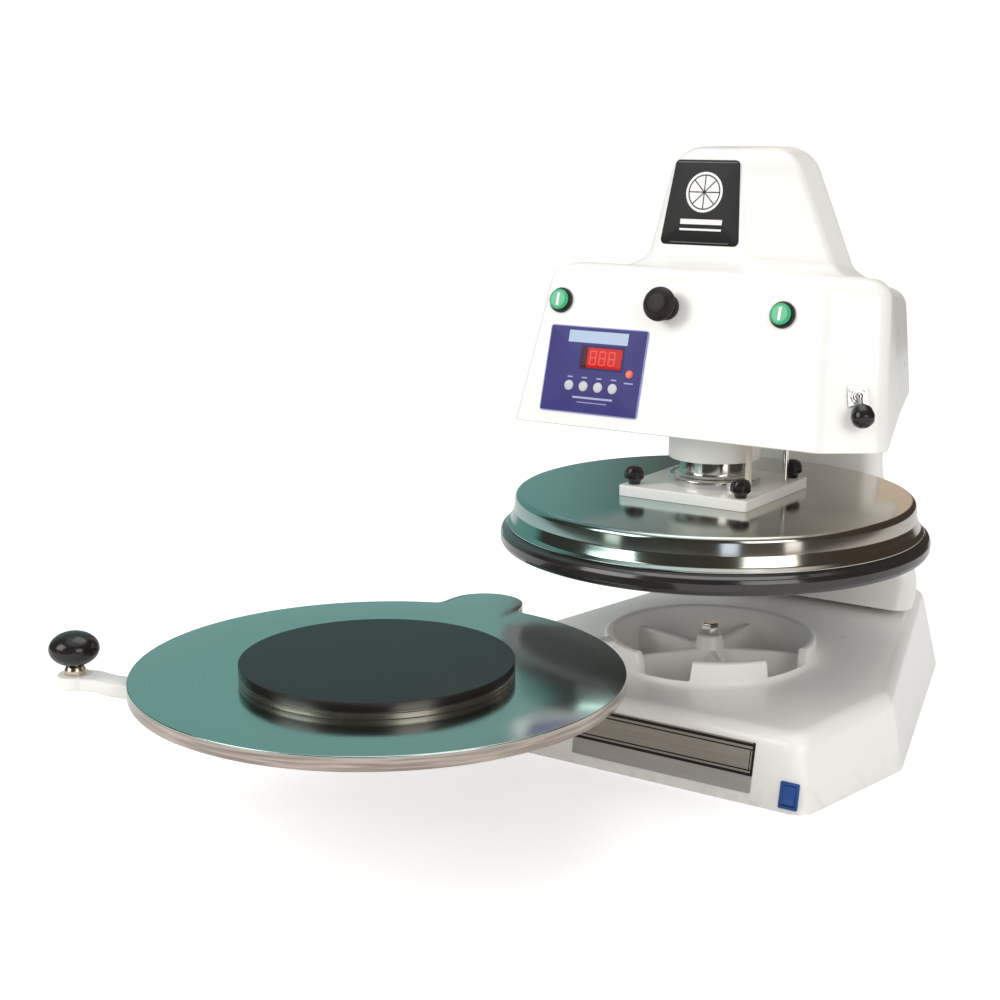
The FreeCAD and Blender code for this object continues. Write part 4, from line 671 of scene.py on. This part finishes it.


# Platen cover: a spun dish of polished metal over the heated platen, with a rounded shoulder, a steep
# skirt and a rolled bead. Its round polishing marks carry a painted reflection, a fan of cool and warm tint.
def lathe_marks_painted_sheen(name, centre, cool, warm, sheen_bearing, metal, low_rough, high_rough, pitch, depth, rim_under=0.0):
    """Turned metal: rings of fine tool marks about a centre, and a painted reflection, a tint that swings from cool
    to warm with the bearing, share = (1 + cos(t - t0)) / 2, standing for the light that brushed rings throw back."""
    at = coat(name)
    shifted = at.add("ShaderNodeVectorMath", {"operation": "SUBTRACT"}, {0: at, 1: (centre[0], centre[1], 0.0)})
    x, y, z = parts_of(shifted)
    r = (x * x + y * y).math("SQRT", x * x + y * y)
    marks = r.add("ShaderNodeTexNoise", {"noise_dimensions": "1D"}, {"W": r, "Scale": pitch, "Detail": 4.0}, "Fac")
    t0 = math.radians(sheen_bearing)
    toward = (x * math.cos(t0) + y * math.sin(t0)) / (r + 0.004)
    # Painted reflection: the tint swings from warm to cool with the bearing about the centre.
    share = soften(toward * 0.5 + 0.5 + 0.10 * (noise(at, 7.0) - 0.5), 0.12, 0.88)
    tone = blend(share, warm, cool)
    tone = blend(0.35 * marks, tone, tuple(0.6 * part for part in cool))
    streaks = soften(noise(at, 14.0, 3.0, (1, 1, 24)), 0.30, 0.70)
    tone = blend(z < rim_under, tone, blend(streaks, (0.30, 0.26, 0.23), (0.56, 0.49, 0.42)))
    wear = noise(at, 14.0, 5.0)
    return finish(at, Base_Color=tone, Metallic=metal, Roughness=low_rough + (high_rough - low_rough) * wear,
                  Normal=bumps(marks, depth, 0.0003))


# The spun cover's cool and warm tints by bearing are a painted reflection.
spun = lathe_marks_painted_sheen("spun_cover", (0.0, 0.0), (0.34, 0.50, 0.48), (0.66, 0.58, 0.50), 205.0, 1.0, 0.08, 0.17, 700.0, 0.06)
cover = rounded([(0, 288), (235, 288), (237, 268), (241, 256), (245, 252.6), (245, 250.8), (239, 254), (235, 268),
                 (233, 286), (0, 286)], [0, 7, 8, 5, 0.8, 0.8, 3, 6, 5, 0], 8, 0, False)
skin("platen_cover_skin", [turned(cover, count=240)], "upper_platen", spun, ["platen_cover"])


# Guard ring: a heavy black enamelled ring, rolled at its top, round the platen's hot edge.
def black_enamel():
    """Thick black enamel, glossy, with dust and faint scuffs in its gloss."""
    at = coat("black_enamel")
    scuff = noise(at, 35.0, 5.0, (1, 1, 3))
    tone = blend(scuff, (0.012, 0.011, 0.011), (0.030, 0.027, 0.025))
    return finish(at, Base_Color=tone, Roughness=0.10 + 0.16 * scuff, Coat_Weight=0.5, Coat_Roughness=0.06,
                  Normal=bumps(noise(at, 300.0), 0.03, 0.0003))


gloss_black = black_enamel()
guard = rounded([(228.8, 232), (234.5, 227), (247, 227), (251.2, 229), (253.3, 233.5), (253.3, 241.5), (251.2, 246),
                 (247, 248.4), (245.4, 250.4), (228.8, 250.4)], [0.6, 1.5, 2, 3, 3, 3, 3, 1.2, 0.6, 0.4], 8, 0)
skin("guard_ring_skin", [turned(guard, count=240)], "upper_platen", gloss_black, ["guard_ring"])


# Heated platen: a thick machined aluminium disc; its working face looks down and carries a dark baked coat.
# Painted reflection: this metal's faint swing of tint by bearing stands for light on its turned rings.
platen_metal = lathe_marks_painted_sheen("machined_aluminium", (0.0, 0.0), (0.50, 0.52, 0.52), (0.56, 0.55, 0.53), 200.0, 1.0, 0.26, 0.40, 900.0, 0.12)
baked_coat = moulded("baked_coat", (0.030, 0.026, 0.023), 0.46, 900.0, 0.08)
face = rounded([(0, 232), (228.4, 232), (228.4, 251.9), (0, 251.9)], [0, 3, 0.6, 0], 6, 0, False)
skin("heated_platen_skin", [turned(face, count=200)], "upper_platen", baked_coat, ["heated_platen"])


# Swing arm: a white cast arm under the lower platen, from the pivot's hub to the middle disc and its pad,
# and on to the handle, where it bends up a little past the platen's rim.
MOULD = (-128.0, -487.0)
HANDLE = (-399.0, -644.0)
span = math.hypot(HANDLE[0] - MOULD[0], HANDLE[1] - MOULD[1])
aim = ((HANDLE[0] - MOULD[0]) / span, (HANDLE[1] - MOULD[1]) / span)
bend = (MOULD[0] + aim[0] * 258, MOULD[1] + aim[1] * 258)
branch = bar(bend[0] - aim[0] * 6, bend[1] - aim[1] * 6, *HANDLE, 17, 17, 141, 155, 3)
gone = (branch[..., 0] - bend[0]) * aim[0] + (branch[..., 1] - bend[1]) * aim[1]
share = np.clip(gone / (span - 258 - 12), 0, 1)
branch[..., 2] += 8.0 * share * share * (3 - 2 * share)
disc = rounded([(0, 128), (30, 128), (30, 141), (62, 141), (62, 155), (0, 155)], [0, 2, 3, 2, 1, 0], 5, 0, False)
arm_grids = [bar(*PIVOT, *MOULD, 30, 27, 141, 155), turned(disc, MOULD), bar(*MOULD, *bend, 27, 17, 141, 155), branch,
             turned(cylinder_profile(19, 149, 163, 2.0), HANDLE, 64),
             turned(ring_profile(44, 19.1, 130.4, 154.9, 2.0), PIVOT, 96)]
skin("swing_arm_skin", arm_grids, "swing_platen", enamel, ["swing_arm"])


# Lower platen: a machined aluminium plate, round with one ear that reaches over the pivot. The ear's sides
# run into the rim through small hollows.
CENTRE = np.array((-138.0, -472.0))
bearing_to_ear = math.atan2(PIVOT[1] - CENTRE[1], PIVOT[0] - CENTRE[0])
apart = math.hypot(PIVOT[0] - CENTRE[0], PIVOT[1] - CENTRE[1])
t = np.linspace(0, 2 * np.pi, 1441)
off = np.abs((t - bearing_to_ear + np.pi) % (2 * np.pi) - np.pi)
lateral = apart * np.sin(np.minimum(off, 1.5))
ear = apart * np.cos(off) + np.sqrt(np.maximum(46.0 ** 2 - lateral ** 2, 0.0))
rim = np.where(off < math.asin(46.0 / apart), np.maximum(ear, 254.0), 254.0)
kernel = np.exp(-0.5 * (np.arange(-12, 13) / 4.0) ** 2)
rim = np.convolve(np.concatenate((rim[-13:-1], rim, rim[1:13])), kernel / kernel.sum(), "valid")
rim[-1] = rim[0]
outward = np.column_stack((np.cos(t), np.sin(t), np.zeros(len(t))))


def platen_row(less, z, share=1.0):
    """Rim of the platen moved in by less, or drawn to its middle by share, at height z."""
    row = outward * ((rim - less) * share)[:, None]
    row[:, :2] += CENTRE
    row[:, 2] = z
    return row


rows = [platen_row(0, 155.0, 0.0), platen_row(1.6, 155.0)]
rows += [platen_row(1.6 * (1 - math.sin(a)), 155.0 + 1.6 * (1 - math.cos(a))) for a in np.linspace(0.3, np.pi / 2, 4)]
rows += [platen_row(1.1 * (1 - math.cos(a)), 170.0 - 1.1 * (1 - math.sin(a))) for a in np.linspace(0, np.pi / 2, 5)]
rows += [platen_row(1.1, 170.0, share) for share in (0.8, 0.5, 0.0)]
# Painted reflection: the lower platen's teal to grey tint by bearing stands for light on its turned face.
turned_face = lathe_marks_painted_sheen("turned_platen", (-0.138, -0.472), (0.52, 0.68, 0.65), (0.60, 0.66, 0.63), 215.0, 1.0, 0.10, 0.20, 520.0, 0.08, 0.1685)
skin("lower_platen_skin", [stacked(rows)[:, ::2]], "swing_platen", turned_face, ["lower_platen"])


# Mould disc: a thick round plate on the platen with a dark non-stick face and a bright turned edge in two
# bands with a fine groove between them.
def dark_coat():
    """Dark non-stick face with a fine speckle; the edge below the rim is bare turned metal."""
    at = coat("mould_finish")
    height = parts_of(at)[2]
    speck = noise(at, 900.0, 2.0)
    cloud = noise(at, 9.0, 4.0)
    face = blend(cloud, (0.013, 0.021, 0.022), (0.024, 0.034, 0.034))
    ring_marks = height.add("ShaderNodeTexNoise", {"noise_dimensions": "1D"}, {"W": height, "Scale": 2400.0, "Detail": 3.0}, "Fac")
    edge = blend(ring_marks, (0.40, 0.36, 0.31), (0.20, 0.18, 0.16))
    edge = blend(soften(height, 0.1755, 0.178), edge, (0.10, 0.09, 0.085))
    bare = height < 0.1862
    return finish(at, Base_Color=blend(bare, face, edge), Metallic=0.95 * bare, Roughness=0.42 - 0.18 * bare + 0.08 * cloud,
                  Specular_IOR_Level=0.22,
                  Normal=bumps(speck, 0.10, 0.0003))


mould_paint = dark_coat()
profile = rounded([(0, 170.05), (140, 170.05), (140, 175.5), (138.8, 176.2), (138.8, 177.2), (140, 177.9), (140, 187), (0, 187)],
                  [0, 0.6, 0.3, 0.3, 0.3, 0.3, 1.1, 0], 6, 0, False)
skin("mould_disc_skin", [turned(profile, MOULD, 240)], "swing_platen", mould_paint, ["mould_disc"])


# Handle: a glossy black ball, a little flattened, on a turned ferrule that is screwed to the arm's end.
brass = polished_chrome("turned_ferrule", (0.66, 0.58, 0.46), 0.16, 0.28)
profile = rounded([(0, 163), (11, 163), (11, 168), (9, 172), (6, 172), (6, 175), (0, 175)], [0, 0.6, 0.8, 0.6, 0.3, 0, 0], 5, 0, False)
skin("handle_ferrule_skin", [turned(profile, HANDLE, 64)], "swing_platen", brass, ["handle_ferrule"])
a = np.linspace(-1.26, np.pi / 2, 40)
ball = np.column_stack((26 * np.cos(a), 190 + 18 * np.sin(a)))
ball = np.concatenate(([(0, 172.2), (6.5, 172.2)], ball))
skin("handle_knob_skin", [turned(ball, HANDLE, 96)], "swing_platen", phenolic, ["handle_knob"])


# Push buttons: two green start caps in round black bezels and a larger black mushroom between them. The
# caps carry a plain white bar. All sit square on the head's leaning front.
class Face:
    """A flat place on the machine: puts (u, v, w) points at spot + u across + v up + w out."""

    def __init__(self, spot, across, up):
        self.spot = np.array(spot, float)
        self.across = np.array(across, float) / np.linalg.norm(across)
        self.up = np.array(up, float) / np.linalg.norm(up)
        self.out = np.cross(self.across, self.up)

    def lay(self, grid):
        return self.spot + grid[..., :1] * self.across + grid[..., 1:2] * self.up + grid[..., 2:] * self.out

    def wires(self, at):
        """The wires of u, v and w at a point, in metres: its offset from the spot along each direction."""
        shift = at.add("ShaderNodeVectorMath", {"operation": "SUBTRACT"}, {0: at, 1: tuple(self.spot / 1000)})
        lines = (self.across, self.up, self.out)
        return [at.add("ShaderNodeVectorMath", {"operation": "DOT_PRODUCT"}, {0: shift, 1: tuple(line)}, "Value") for line in lines]


def head_face(x, z):
    return Face((x, -101 + 0.28 * (z - 368), z), (1, 0, 0), (0, 0.28, 1))


GREEN_LEFT, GREEN_RIGHT, STOP = head_face(-176.0, 510.0), head_face(110.0, 510.0), head_face(-34.0, 510.0)
bezel_black = moulded("bezel_black", (0.022, 0.020, 0.021), 0.38)
bezels = []
for place, inner in ((GREEN_LEFT, 12.3), (STOP, 10.8), (GREEN_RIGHT, 12.3)):
    profile = rounded([(0, 0.1), (15, 0.1), (15, 3.4), (13.6, 5), (inner, 5), (inner, 2), (0, 2)],
                      [0, 0.3, 1.0, 0.8, 0.4, 0.3, 0], 5, 0, False)
    bezels.append(place.lay(turned(profile, count=72)))
skin("button_bezels_skin", bezels, "frame", bezel_black, ["button_bezels"])


def green_cap(name, place):
    """Moulded green cap with a white bar printed down its middle."""
    at = coat(name)
    u, v, w = place.wires(at)
    bar_mask = (abs(u) < 0.0016) * (abs(v) < 0.0072) * (w > 0.0085)
    cloud = noise(at, 60.0)
    tone = blend(cloud, (0.035, 0.40, 0.175), (0.055, 0.50, 0.235))
    tone = blend(bar_mask, tone, (0.90, 0.95, 0.90))
    return finish(at, Base_Color=tone, Roughness=0.22 + 0.1 * cloud, Coat_Weight=0.3,
                  Normal=bumps(noise(at, 600.0), 0.05, 0.0002))


cap_profile = rounded([(0, -18), (5, -18), (5, 5.3), (12, 5.3), (12, 9.2), (9.5, 10), (0, 10)],
                      [0, 0.5, 0.3, 0.4, 0.9, 1.5, 0], 5, 0, False)
for side, place in (("left", GREEN_LEFT), ("right", GREEN_RIGHT)):
    skin("start_cap_" + side, [place.lay(turned(cap_profile, count=72))], "start_" + side,
         green_cap("green_cap_" + side, place), ["start_button_" + side])

mushroom = moulded("mushroom_black", (0.020, 0.013, 0.011), 0.36, 500.0, 0.08, 0.2)
profile = rounded([(0, -18), (9, -18), (9, 17), (18, 17), (20, 19.5), (19.6, 23), (17, 26), (12, 29), (0, 30)],
                  [0, 0.5, 1.0, 0.6, 1.5, 3, 4, 8, 0], 6, 0, False)
skin("stop_mushroom", [STOP.lay(turned(profile, count=96))], "stop", mushroom, ["stop_button"])


# Control panel: a printed blue overlay with a pale blank name field, a red lit window, a round red lamp and
# four domed silver keys. Thin pale lines and blank marks stand where a maker would print words.
PANEL = head_face(-118.0, 432.5)


def panel_print():
    """Blue overlay printed with a pale field, a dark window border and fine blank marks, by panel position."""
    at = coat("panel_print")
    u, v, w = PANEL.wires(at)

    def box_mask(x0, x1, z0, z1):
        rise = math.hypot(1, 0.28)
        low, high = (z0 - 432.5) * rise / 1000, (z1 - 432.5) * rise / 1000
        return (u > (x0 + 118) / 1000) * (u < (x1 + 118) / 1000) * (v > low) * (v < high)

    cloud = noise(at, 30.0)
    tone = blend(cloud, (0.040, 0.036, 0.18), (0.058, 0.052, 0.23))
    tone = blend(box_mask(-157.5, -77.5, 463.5, 477.0), tone, (0.46, 0.58, 0.74))
    tone = blend(box_mask(-138.5, -79.5, 433.0, 461.0), tone, (0.030, 0.022, 0.10))
    tone = blend(box_mask(-141.0, -87.0, 400.0, 402.2), tone, (0.42, 0.46, 0.66))
    tone = blend(box_mask(-134.0, -94.0, 395.2, 396.4), tone, (0.30, 0.33, 0.58))
    for x in (-148.0, -128.3, -108.6, -88.9):
        tone = blend(box_mask(x - 3.5, x + 3.5, 423.2, 424.6), tone, (0.42, 0.46, 0.66))
    tone = blend(box_mask(-75.0, -63.0, 421.0, 422.4), tone, (0.42, 0.46, 0.66))
    edge = (abs(u) > 0.0648) + (abs(v) > 0.0502)
    tone = blend(edge > 0.5, tone, (0.30, 0.33, 0.62))
    return finish(at, Base_Color=tone, Roughness=0.30 + 0.1 * cloud, Specular_IOR_Level=0.18,
                  Normal=bumps(noise(at, 800.0), 0.08, 0.0002))


HALF_U, HALF_V = 66.0, 51.4
corners = [(-HALF_U, -HALF_V), (HALF_U, -HALF_V), (HALF_U, HALF_V), (-HALF_U, HALF_V)]
skin("panel_overlay", [PANEL.lay(slab(corners, 4.0, 0.05, 1.6, 0.4, 0.05))], "frame", panel_print(), ["control_panel"])


def lit_window():
    """Tinted window with glowing bars like those of a numeric display, all the same and so blank of meaning."""
    at = coat("lit_window")
    u, v, w = WINDOW.wires(at)
    cell = (u + 0.0180).math("FLOORED_MODULO", u + 0.0180, 0.0125) - 0.00625
    upright = (abs(abs(cell) - 0.0038) < 0.0009) * (abs(v) < 0.0082)
    level_bar = (abs(cell) < 0.0034) * (abs(abs(v) - 0.0078) < 0.0009)
    middle = (abs(cell) < 0.0034) * (abs(v) < 0.0009)
    digits = ((upright + level_bar + middle) > 0.5) * (u > -0.0180) * (u < 0.0195)
    field = (u > -0.0195)
    tone = blend(field, (0.06, 0.008, 0.012), (0.46, 0.010, 0.010))
    tone = blend(0.55 * digits, tone, (0.90, 0.10, 0.07))
    return finish(at, Base_Color=tone, Emission_Color=tone, Emission_Strength=0.25, Roughness=0.16,
                  Specular_IOR_Level=0.15)


WINDOW = head_face(-109.0, 447.0)
corners = [(-27, -12), (27, -12), (27, 12), (-27, 12)]
skin("display_window", [WINDOW.lay(slab(corners, 1.0, 0.9, 1.95, 0.4, 0.05))], "frame", lit_window(), ["display_module"])

LAMP = head_face(-69.5, 432.0)
at = coat("lamp_lens")
glow_tone = blend(noise(at, 120.0), (0.80, 0.10, 0.05), (0.92, 0.20, 0.10))
lens = finish(at, Base_Color=glow_tone, Emission_Color=glow_tone, Emission_Strength=0.15, Roughness=0.2, Coat_Weight=0.4)
profile = rounded([(0, 1.5), (5, 1.5), (4.4, 2.9), (2.5, 3.7), (0, 3.9)], [0, 0.2, 0.8, 2, 0], 5, 0, False)
skin("status_lens", [LAMP.lay(turned(profile, count=48))], "frame", lens, ["status_lamp"])

silver = moulded("key_silver", (0.66, 0.68, 0.72), 0.30, 600.0, 0.06)
profile = rounded([(0, 1.2), (6, 1.2), (6, 2.1), (5, 2.8), (0, 3.2)], [0, 0.1, 0.5, 1.2, 0], 5, 0, False)
for i in range(4):
    key = head_face(-148.0 + 19.7 * i, 414.0)
    skin("key_dome_%d" % (i + 1), [key.lay(turned(profile, count=48))], "key_%d" % (i + 1), silver,
         ["panel_key_%d" % (i + 1)])


# Shut-off valve: a chrome plate with two screws and a threaded bush on the head's facet; its steel lever
# ends in a black teardrop knob that hangs down when the air is on.
VALVE = Face((200.648, -61.16, 427.0), (0.804155, 0.594420, 0), (-0.162713, 0.220125, 0.961805))
nickel = polished_chrome("valve_chrome", (0.74, 0.74, 0.73), 0.12, 0.24)
corners = [(-11.5, -11.5), (11.5, -11.5), (11.5, 11.5), (-11.5, 11.5)]
valve_grids = [slab(corners, 1.8, 0.3, 2.3, 0.6, 0.1)]
valve_grids.append(turned(rounded([(0, 2.2), (8.2, 2.2), (8.2, 4.4), (6, 4.4), (6, 8), (4.3, 8), (4.3, 3), (0, 3)],
                                  [0, 0.2, 0.7, 0.3, 0.7, 0.3, 0.3, 0], 5, 0, False), count=6 * 12))
screw = rounded([(0, 2.2), (2.8, 2.2), (2.8, 2.9), (2, 3.5), (0, 3.6)], [0, 0.1, 0.5, 0.5, 0], 4, 0, False)
valve_grids += [turned(screw, (side * 7.7, 7.7), 32) for side in (-1, 1)]
skin("valve_plate_skin", [VALVE.lay(grid) for grid in valve_grids], "frame", nickel, ["toggle_valve"])

tilt = math.radians(65.0)
LEVER = Face(VALVE.spot + VALVE.out * 9.6, VALVE.across, VALVE.up * math.cos(tilt) + VALVE.out * math.sin(tilt))
shaft = rounded([(0, -3.9), (2.4, -3.4), (3.9, -1), (3.9, 1), (2.6, 3.6), (2.6, 18), (0, 18)], [0, 1.2, 1.5, 1.5, 1, 0.3, 0], 6, 0, False)
skin("lever_shaft", [LEVER.lay(turned(shaft, count=48))], "lever", nickel, ["valve_lever"])
drop = rounded([(2.7, 13), (6.5, 13), (11, 18), (13, 26), (11.5, 33), (6.5, 37), (0, 38)], [0, 1.5, 5, 10, 6, 4, 0], 8, 0, False)
drop = np.concatenate(([(0, 13.5), (2.6, 13.5)], drop))
skin("lever_knob", [LEVER.lay(turned(drop, count=72))], "lever", phenolic, ["valve_knob"])


# Badge: a black gloss plate on the tower's front with a plain printed device, a dough round marked for
# eight slices over two blank bars. It names nothing.
BADGE = Face((-27.0, -6 + 0.2 * 69.5, 625.5), (1, 0, 0), (0, 0.2, 1))


def badge_print():
    """White ring and eight spokes by radius and bearing from the device's middle, and two bars below."""
    at = coat("badge_print")
    u, v, w = BADGE.wires(at)
    v_up = v - 0.012
    r = (u * u + v_up * v_up).math("SQRT", u * u + v_up * v_up)
    bearing = u.math("ARCTAN2", v_up, u)
    wedge = bearing.math("FLOORED_MODULO", bearing + math.pi / 8, math.pi / 4) - math.pi / 8
    spoke = abs(r * wedge.math("SINE", wedge)) < 0.0007
    crust = (r > 0.0205) * (r < 0.0235)
    filling = (r < 0.0190) * (1 - spoke)
    bars = (abs(u) < 0.027) * ((abs(v + 0.0225) < 0.0030) + (abs(v + 0.0315) < 0.0012)) * (w > 0.0)
    device = (crust + filling + bars) > 0.5
    line = ((abs(v) > 0.0462) * (abs(v) < 0.0470)) * (abs(u) < 0.038)
    tone = blend(device, (0.012, 0.011, 0.012), (0.86, 0.85, 0.84))
    tone = blend(0.35 * line, tone, (0.5, 0.5, 0.5))
    return finish(at, Base_Color=tone, Roughness=0.20 + 0.1 * noise(at, 20.0), Specular_IOR_Level=0.15,
                  Normal=bumps(noise(at, 500.0), 0.04, 0.0002))


corners = [(-51, -49.4), (51, -49.4), (41, 49.4), (-41, 49.4)]
skin("badge_skin", [BADGE.lay(slab(corners, 6.0, 0.05, 1.2, 0.4, 0.05))], "frame", badge_print(), ["badge_plate"])


# Label plate: brushed metal on the base's front, framed by black lines over a plain grey band. It is left
# bare where a maker would print a name.
LABEL = Face((47.0, -212 + FRONT_LEAN * 39, 39.0), (1, 0, 0), (0, FRONT_LEAN, 1))


def label_print():
    """Brushed metal drawn out along its length, with black rules and a darker lower band by height."""
    at = coat("label_print")
    u, v, w = LABEL.wires(at)
    brush = noise(at, 260.0, 4.0, (0.04, 1, 1))
    tone = blend(brush, (0.44, 0.40, 0.345), (0.30, 0.27, 0.235))
    tone = blend(v < -0.0085, tone, blend(brush, (0.56, 0.54, 0.52), (0.42, 0.40, 0.385)))
    upper = (abs(v - 0.0245) < 0.0016) + (abs(v - 0.0195) < 0.0008)
    lower = (abs(v + 0.0075) < 0.0016) + (abs(v + 0.0030) < 0.0008)
    ends = (abs(u) > 0.1095) * (v > -0.0085) + (abs(abs(u) - 0.1075) < 0.0006) * (v > -0.0035) * (v < 0.020)
    tone = blend((upper + lower + ends) > 0.5, tone, (0.016, 0.014, 0.014))
    return finish(at, Base_Color=tone, Metallic=0.55, Roughness=0.34 + 0.16 * brush, Normal=bumps(brush, 0.12, 0.0003))


half = 27 * math.hypot(1, FRONT_LEAN)
corners = [(-112, -half), (112, -half), (112, half), (-112, half)]
skin("label_skin", [LABEL.lay(slab(corners, 1.5, 0.05, 1.2, 0.3, 0.05))], "frame", label_print(), ["label_plate"])


# Rocker switch: a blue frame snapped into the base's front and a blue rocker that tips in it.
SWITCH = Face((204.0, -212 + FRONT_LEAN * 19, 19.0), (1, 0, 0), (0, FRONT_LEAN, 1))
at = coat("switch_blue")
cloud = noise(at, 70.0)
blue = finish(at, Base_Color=blend(cloud, (0.022, 0.070, 0.27), (0.035, 0.10, 0.34)), Roughness=0.26 + 0.1 * cloud,
              Specular_IOR_Level=0.25, Normal=bumps(noise(at, 700.0), 0.06, 0.0002))


def nested(rows):
    """Surface through rounded rectangles given as (half width, half height, corner radius, level)."""
    lines = []
    for half_u, half_v, radius, w in rows:
        box = [(-half_u, -half_v), (half_u, -half_v), (half_u, half_v), (-half_u, half_v)]
        lines.append(level(rounded(box, radius), w))
    return stacked([pole(lines[0])] + lines + [pole(lines[-1])])


switch_rows = [(11, 14.5, 1.5, 0.05), (11, 14.5, 1.5, 1.4), (10.7, 14.2, 1.4, 1.85), (10.2, 13.7, 1.2, 2.0), (8.2, 11.4, 0.8, 2.0),
               (7.85, 11.05, 0.6, 1.7), (7.8, 11.0, 0.5, -8.8)]
skin("switch_frame", [SWITCH.lay(nested(switch_rows))], "frame", blue, ["rocker_frame"])


def rocker_body():
    """Wedge outline in the plane of (up, out), tipped by 6 degrees and carried across from side to side."""
    line = rounded([(-10, -5), (0, -8), (10, -5), (10, 3.2), (5, 2.0), (0, 1.6), (-5, 2.0), (-10, 3.2)],
                   [0.5, 1, 0.5, 1, 5, 5, 5, 1], 6, 0)
    tip = math.radians(-6)
    up = line[:, 0] * math.cos(tip) - line[:, 1] * math.sin(tip)
    out = line[:, 0] * math.sin(tip) + line[:, 1] * math.cos(tip)
    rows = []
    for u, shrink in ((-7.5, 0.0), (-7.5, 0.96), (-7.2, 0.99), (-6.9, 1.0), (6.9, 1.0), (7.2, 0.99), (7.5, 0.96), (7.5, 0.0)):
        rows.append(np.column_stack((np.full(len(up), u), up * shrink, -1 + (out + 1) * shrink)))
    return stacked(rows)


skin("rocker_skin", [SWITCH.lay(rocker_body())], "rocker", blue, ["rocker"])


# Stop bolt: a chrome hexagon head on top of the well's cone, on which the arm's pad rests when pressing.
def hexagon(across, radius=0.6):
    t = np.radians(np.arange(6) * 60.0)
    return rounded(np.column_stack((np.cos(t), np.sin(t))) * across / math.sqrt(3), radius)


lines = [level(hexagon(size), z) for size, z in ((17.5, 112.0), (19.0, 112.8), (19.0, 125.2), (17.6, 126.6), (16.8, 127.0))]
skin("stop_bolt_skin", [stacked([pole(lines[0])] + lines + [pole(lines[-1])])], "frame", chrome, ["stop_bolt"])


# Rear fittings: a black mains inlet with three pins and a brass air fitting with an open threaded port.
REAR_OUT = 392.0 - SIDE_DRAFT * 46
INLET = Face((-62.0, REAR_OUT, 46.0), (-1, 0, 0), (0, -SIDE_DRAFT, 1))
inlet_rows = [(24, 14, 6, 0.05), (24, 14, 6, 1.9), (23.4, 13.4, 5.5, 2.5), (11, 7, 1, 2.5), (10.5, 6.5, 0.8, 2.0), (10.5, 6.5, 0.8, -15.8)]
inlet_grids = [nested(inlet_rows)]
for u, v in ((-6, -1), (6, -1), (0, 2)):
    pin = nested([(1.0, 2.0, 0.3, -16.0), (1.0, 2.0, 0.3, -3.6), (0.7, 1.7, 0.3, -3.0)])
    inlet_grids.append(pin + (u, v, 0))
skin("inlet_skin", [INLET.lay(grid) for grid in inlet_grids], "frame", bezel_black, ["power_inlet"])

AIR = Face((62.0, REAR_OUT, 46.0), (-1, 0, 0), (0, -SIDE_DRAFT, 1))
fitting = polished_chrome("machined_brass", (0.72, 0.52, 0.24), 0.20, 0.34)
hex_lines = [level(hexagon(size), w) for size, w in ((18.4, 0.05), (19.0, 0.6), (19.0, 7.2), (17.6, 8.0))]
count = len(hex_lines[0])
bore = 5.7 + 0.22 * np.tile((0.0, 1.0), 8)
ring = np.linspace(math.pi / 6 * 0, 2 * np.pi, count)
for radius, w in zip(bore, np.linspace(8.0, -5.6, 16)):
    hex_lines.append(np.column_stack((radius * np.cos(ring), radius * np.sin(ring), np.full(count, w))))
skin("air_fitting_skin", [AIR.lay(stacked([pole(hex_lines[0])] + hex_lines + [pole(hex_lines[-1])]))], "frame", fitting,
     ["air_inlet"])


# Pieces kept from the CAD model, mostly inside or beneath: each gets the finish of its own material.
bare_steel = polished_chrome("bare_steel", (0.55, 0.54, 0.52), 0.26, 0.42)
at = coat("board_green")
board = finish(at, Base_Color=blend(noise(at, 80.0), (0.02, 0.16, 0.06), (0.04, 0.24, 0.10)), Roughness=0.35)
kept = {
    "steel": bare_steel,
    "bronze": polished_chrome("sintered_bronze", (0.50, 0.34, 0.16), 0.34, 0.50),
    "platen_aluminium": platen_metal,
    "rubber_black": moulded("grommet_rubber", (0.020, 0.020, 0.020), 0.62),
    "seal_rubber": moulded("seal_rubber", (0.030, 0.028, 0.028), 0.55),
    "button_black": bezel_black,
    "board_green": board,
    "white_coat": enamel,
    "chrome": chrome,
}
slots = {part["node"]: part["material_slot"] for part in frame["record"]["subparts"]}
for name, node in frame["nodes"].items():
    if slots[name] in kept:
        node.data.materials.clear()
        node.data.materials.append(kept[slots[name]])
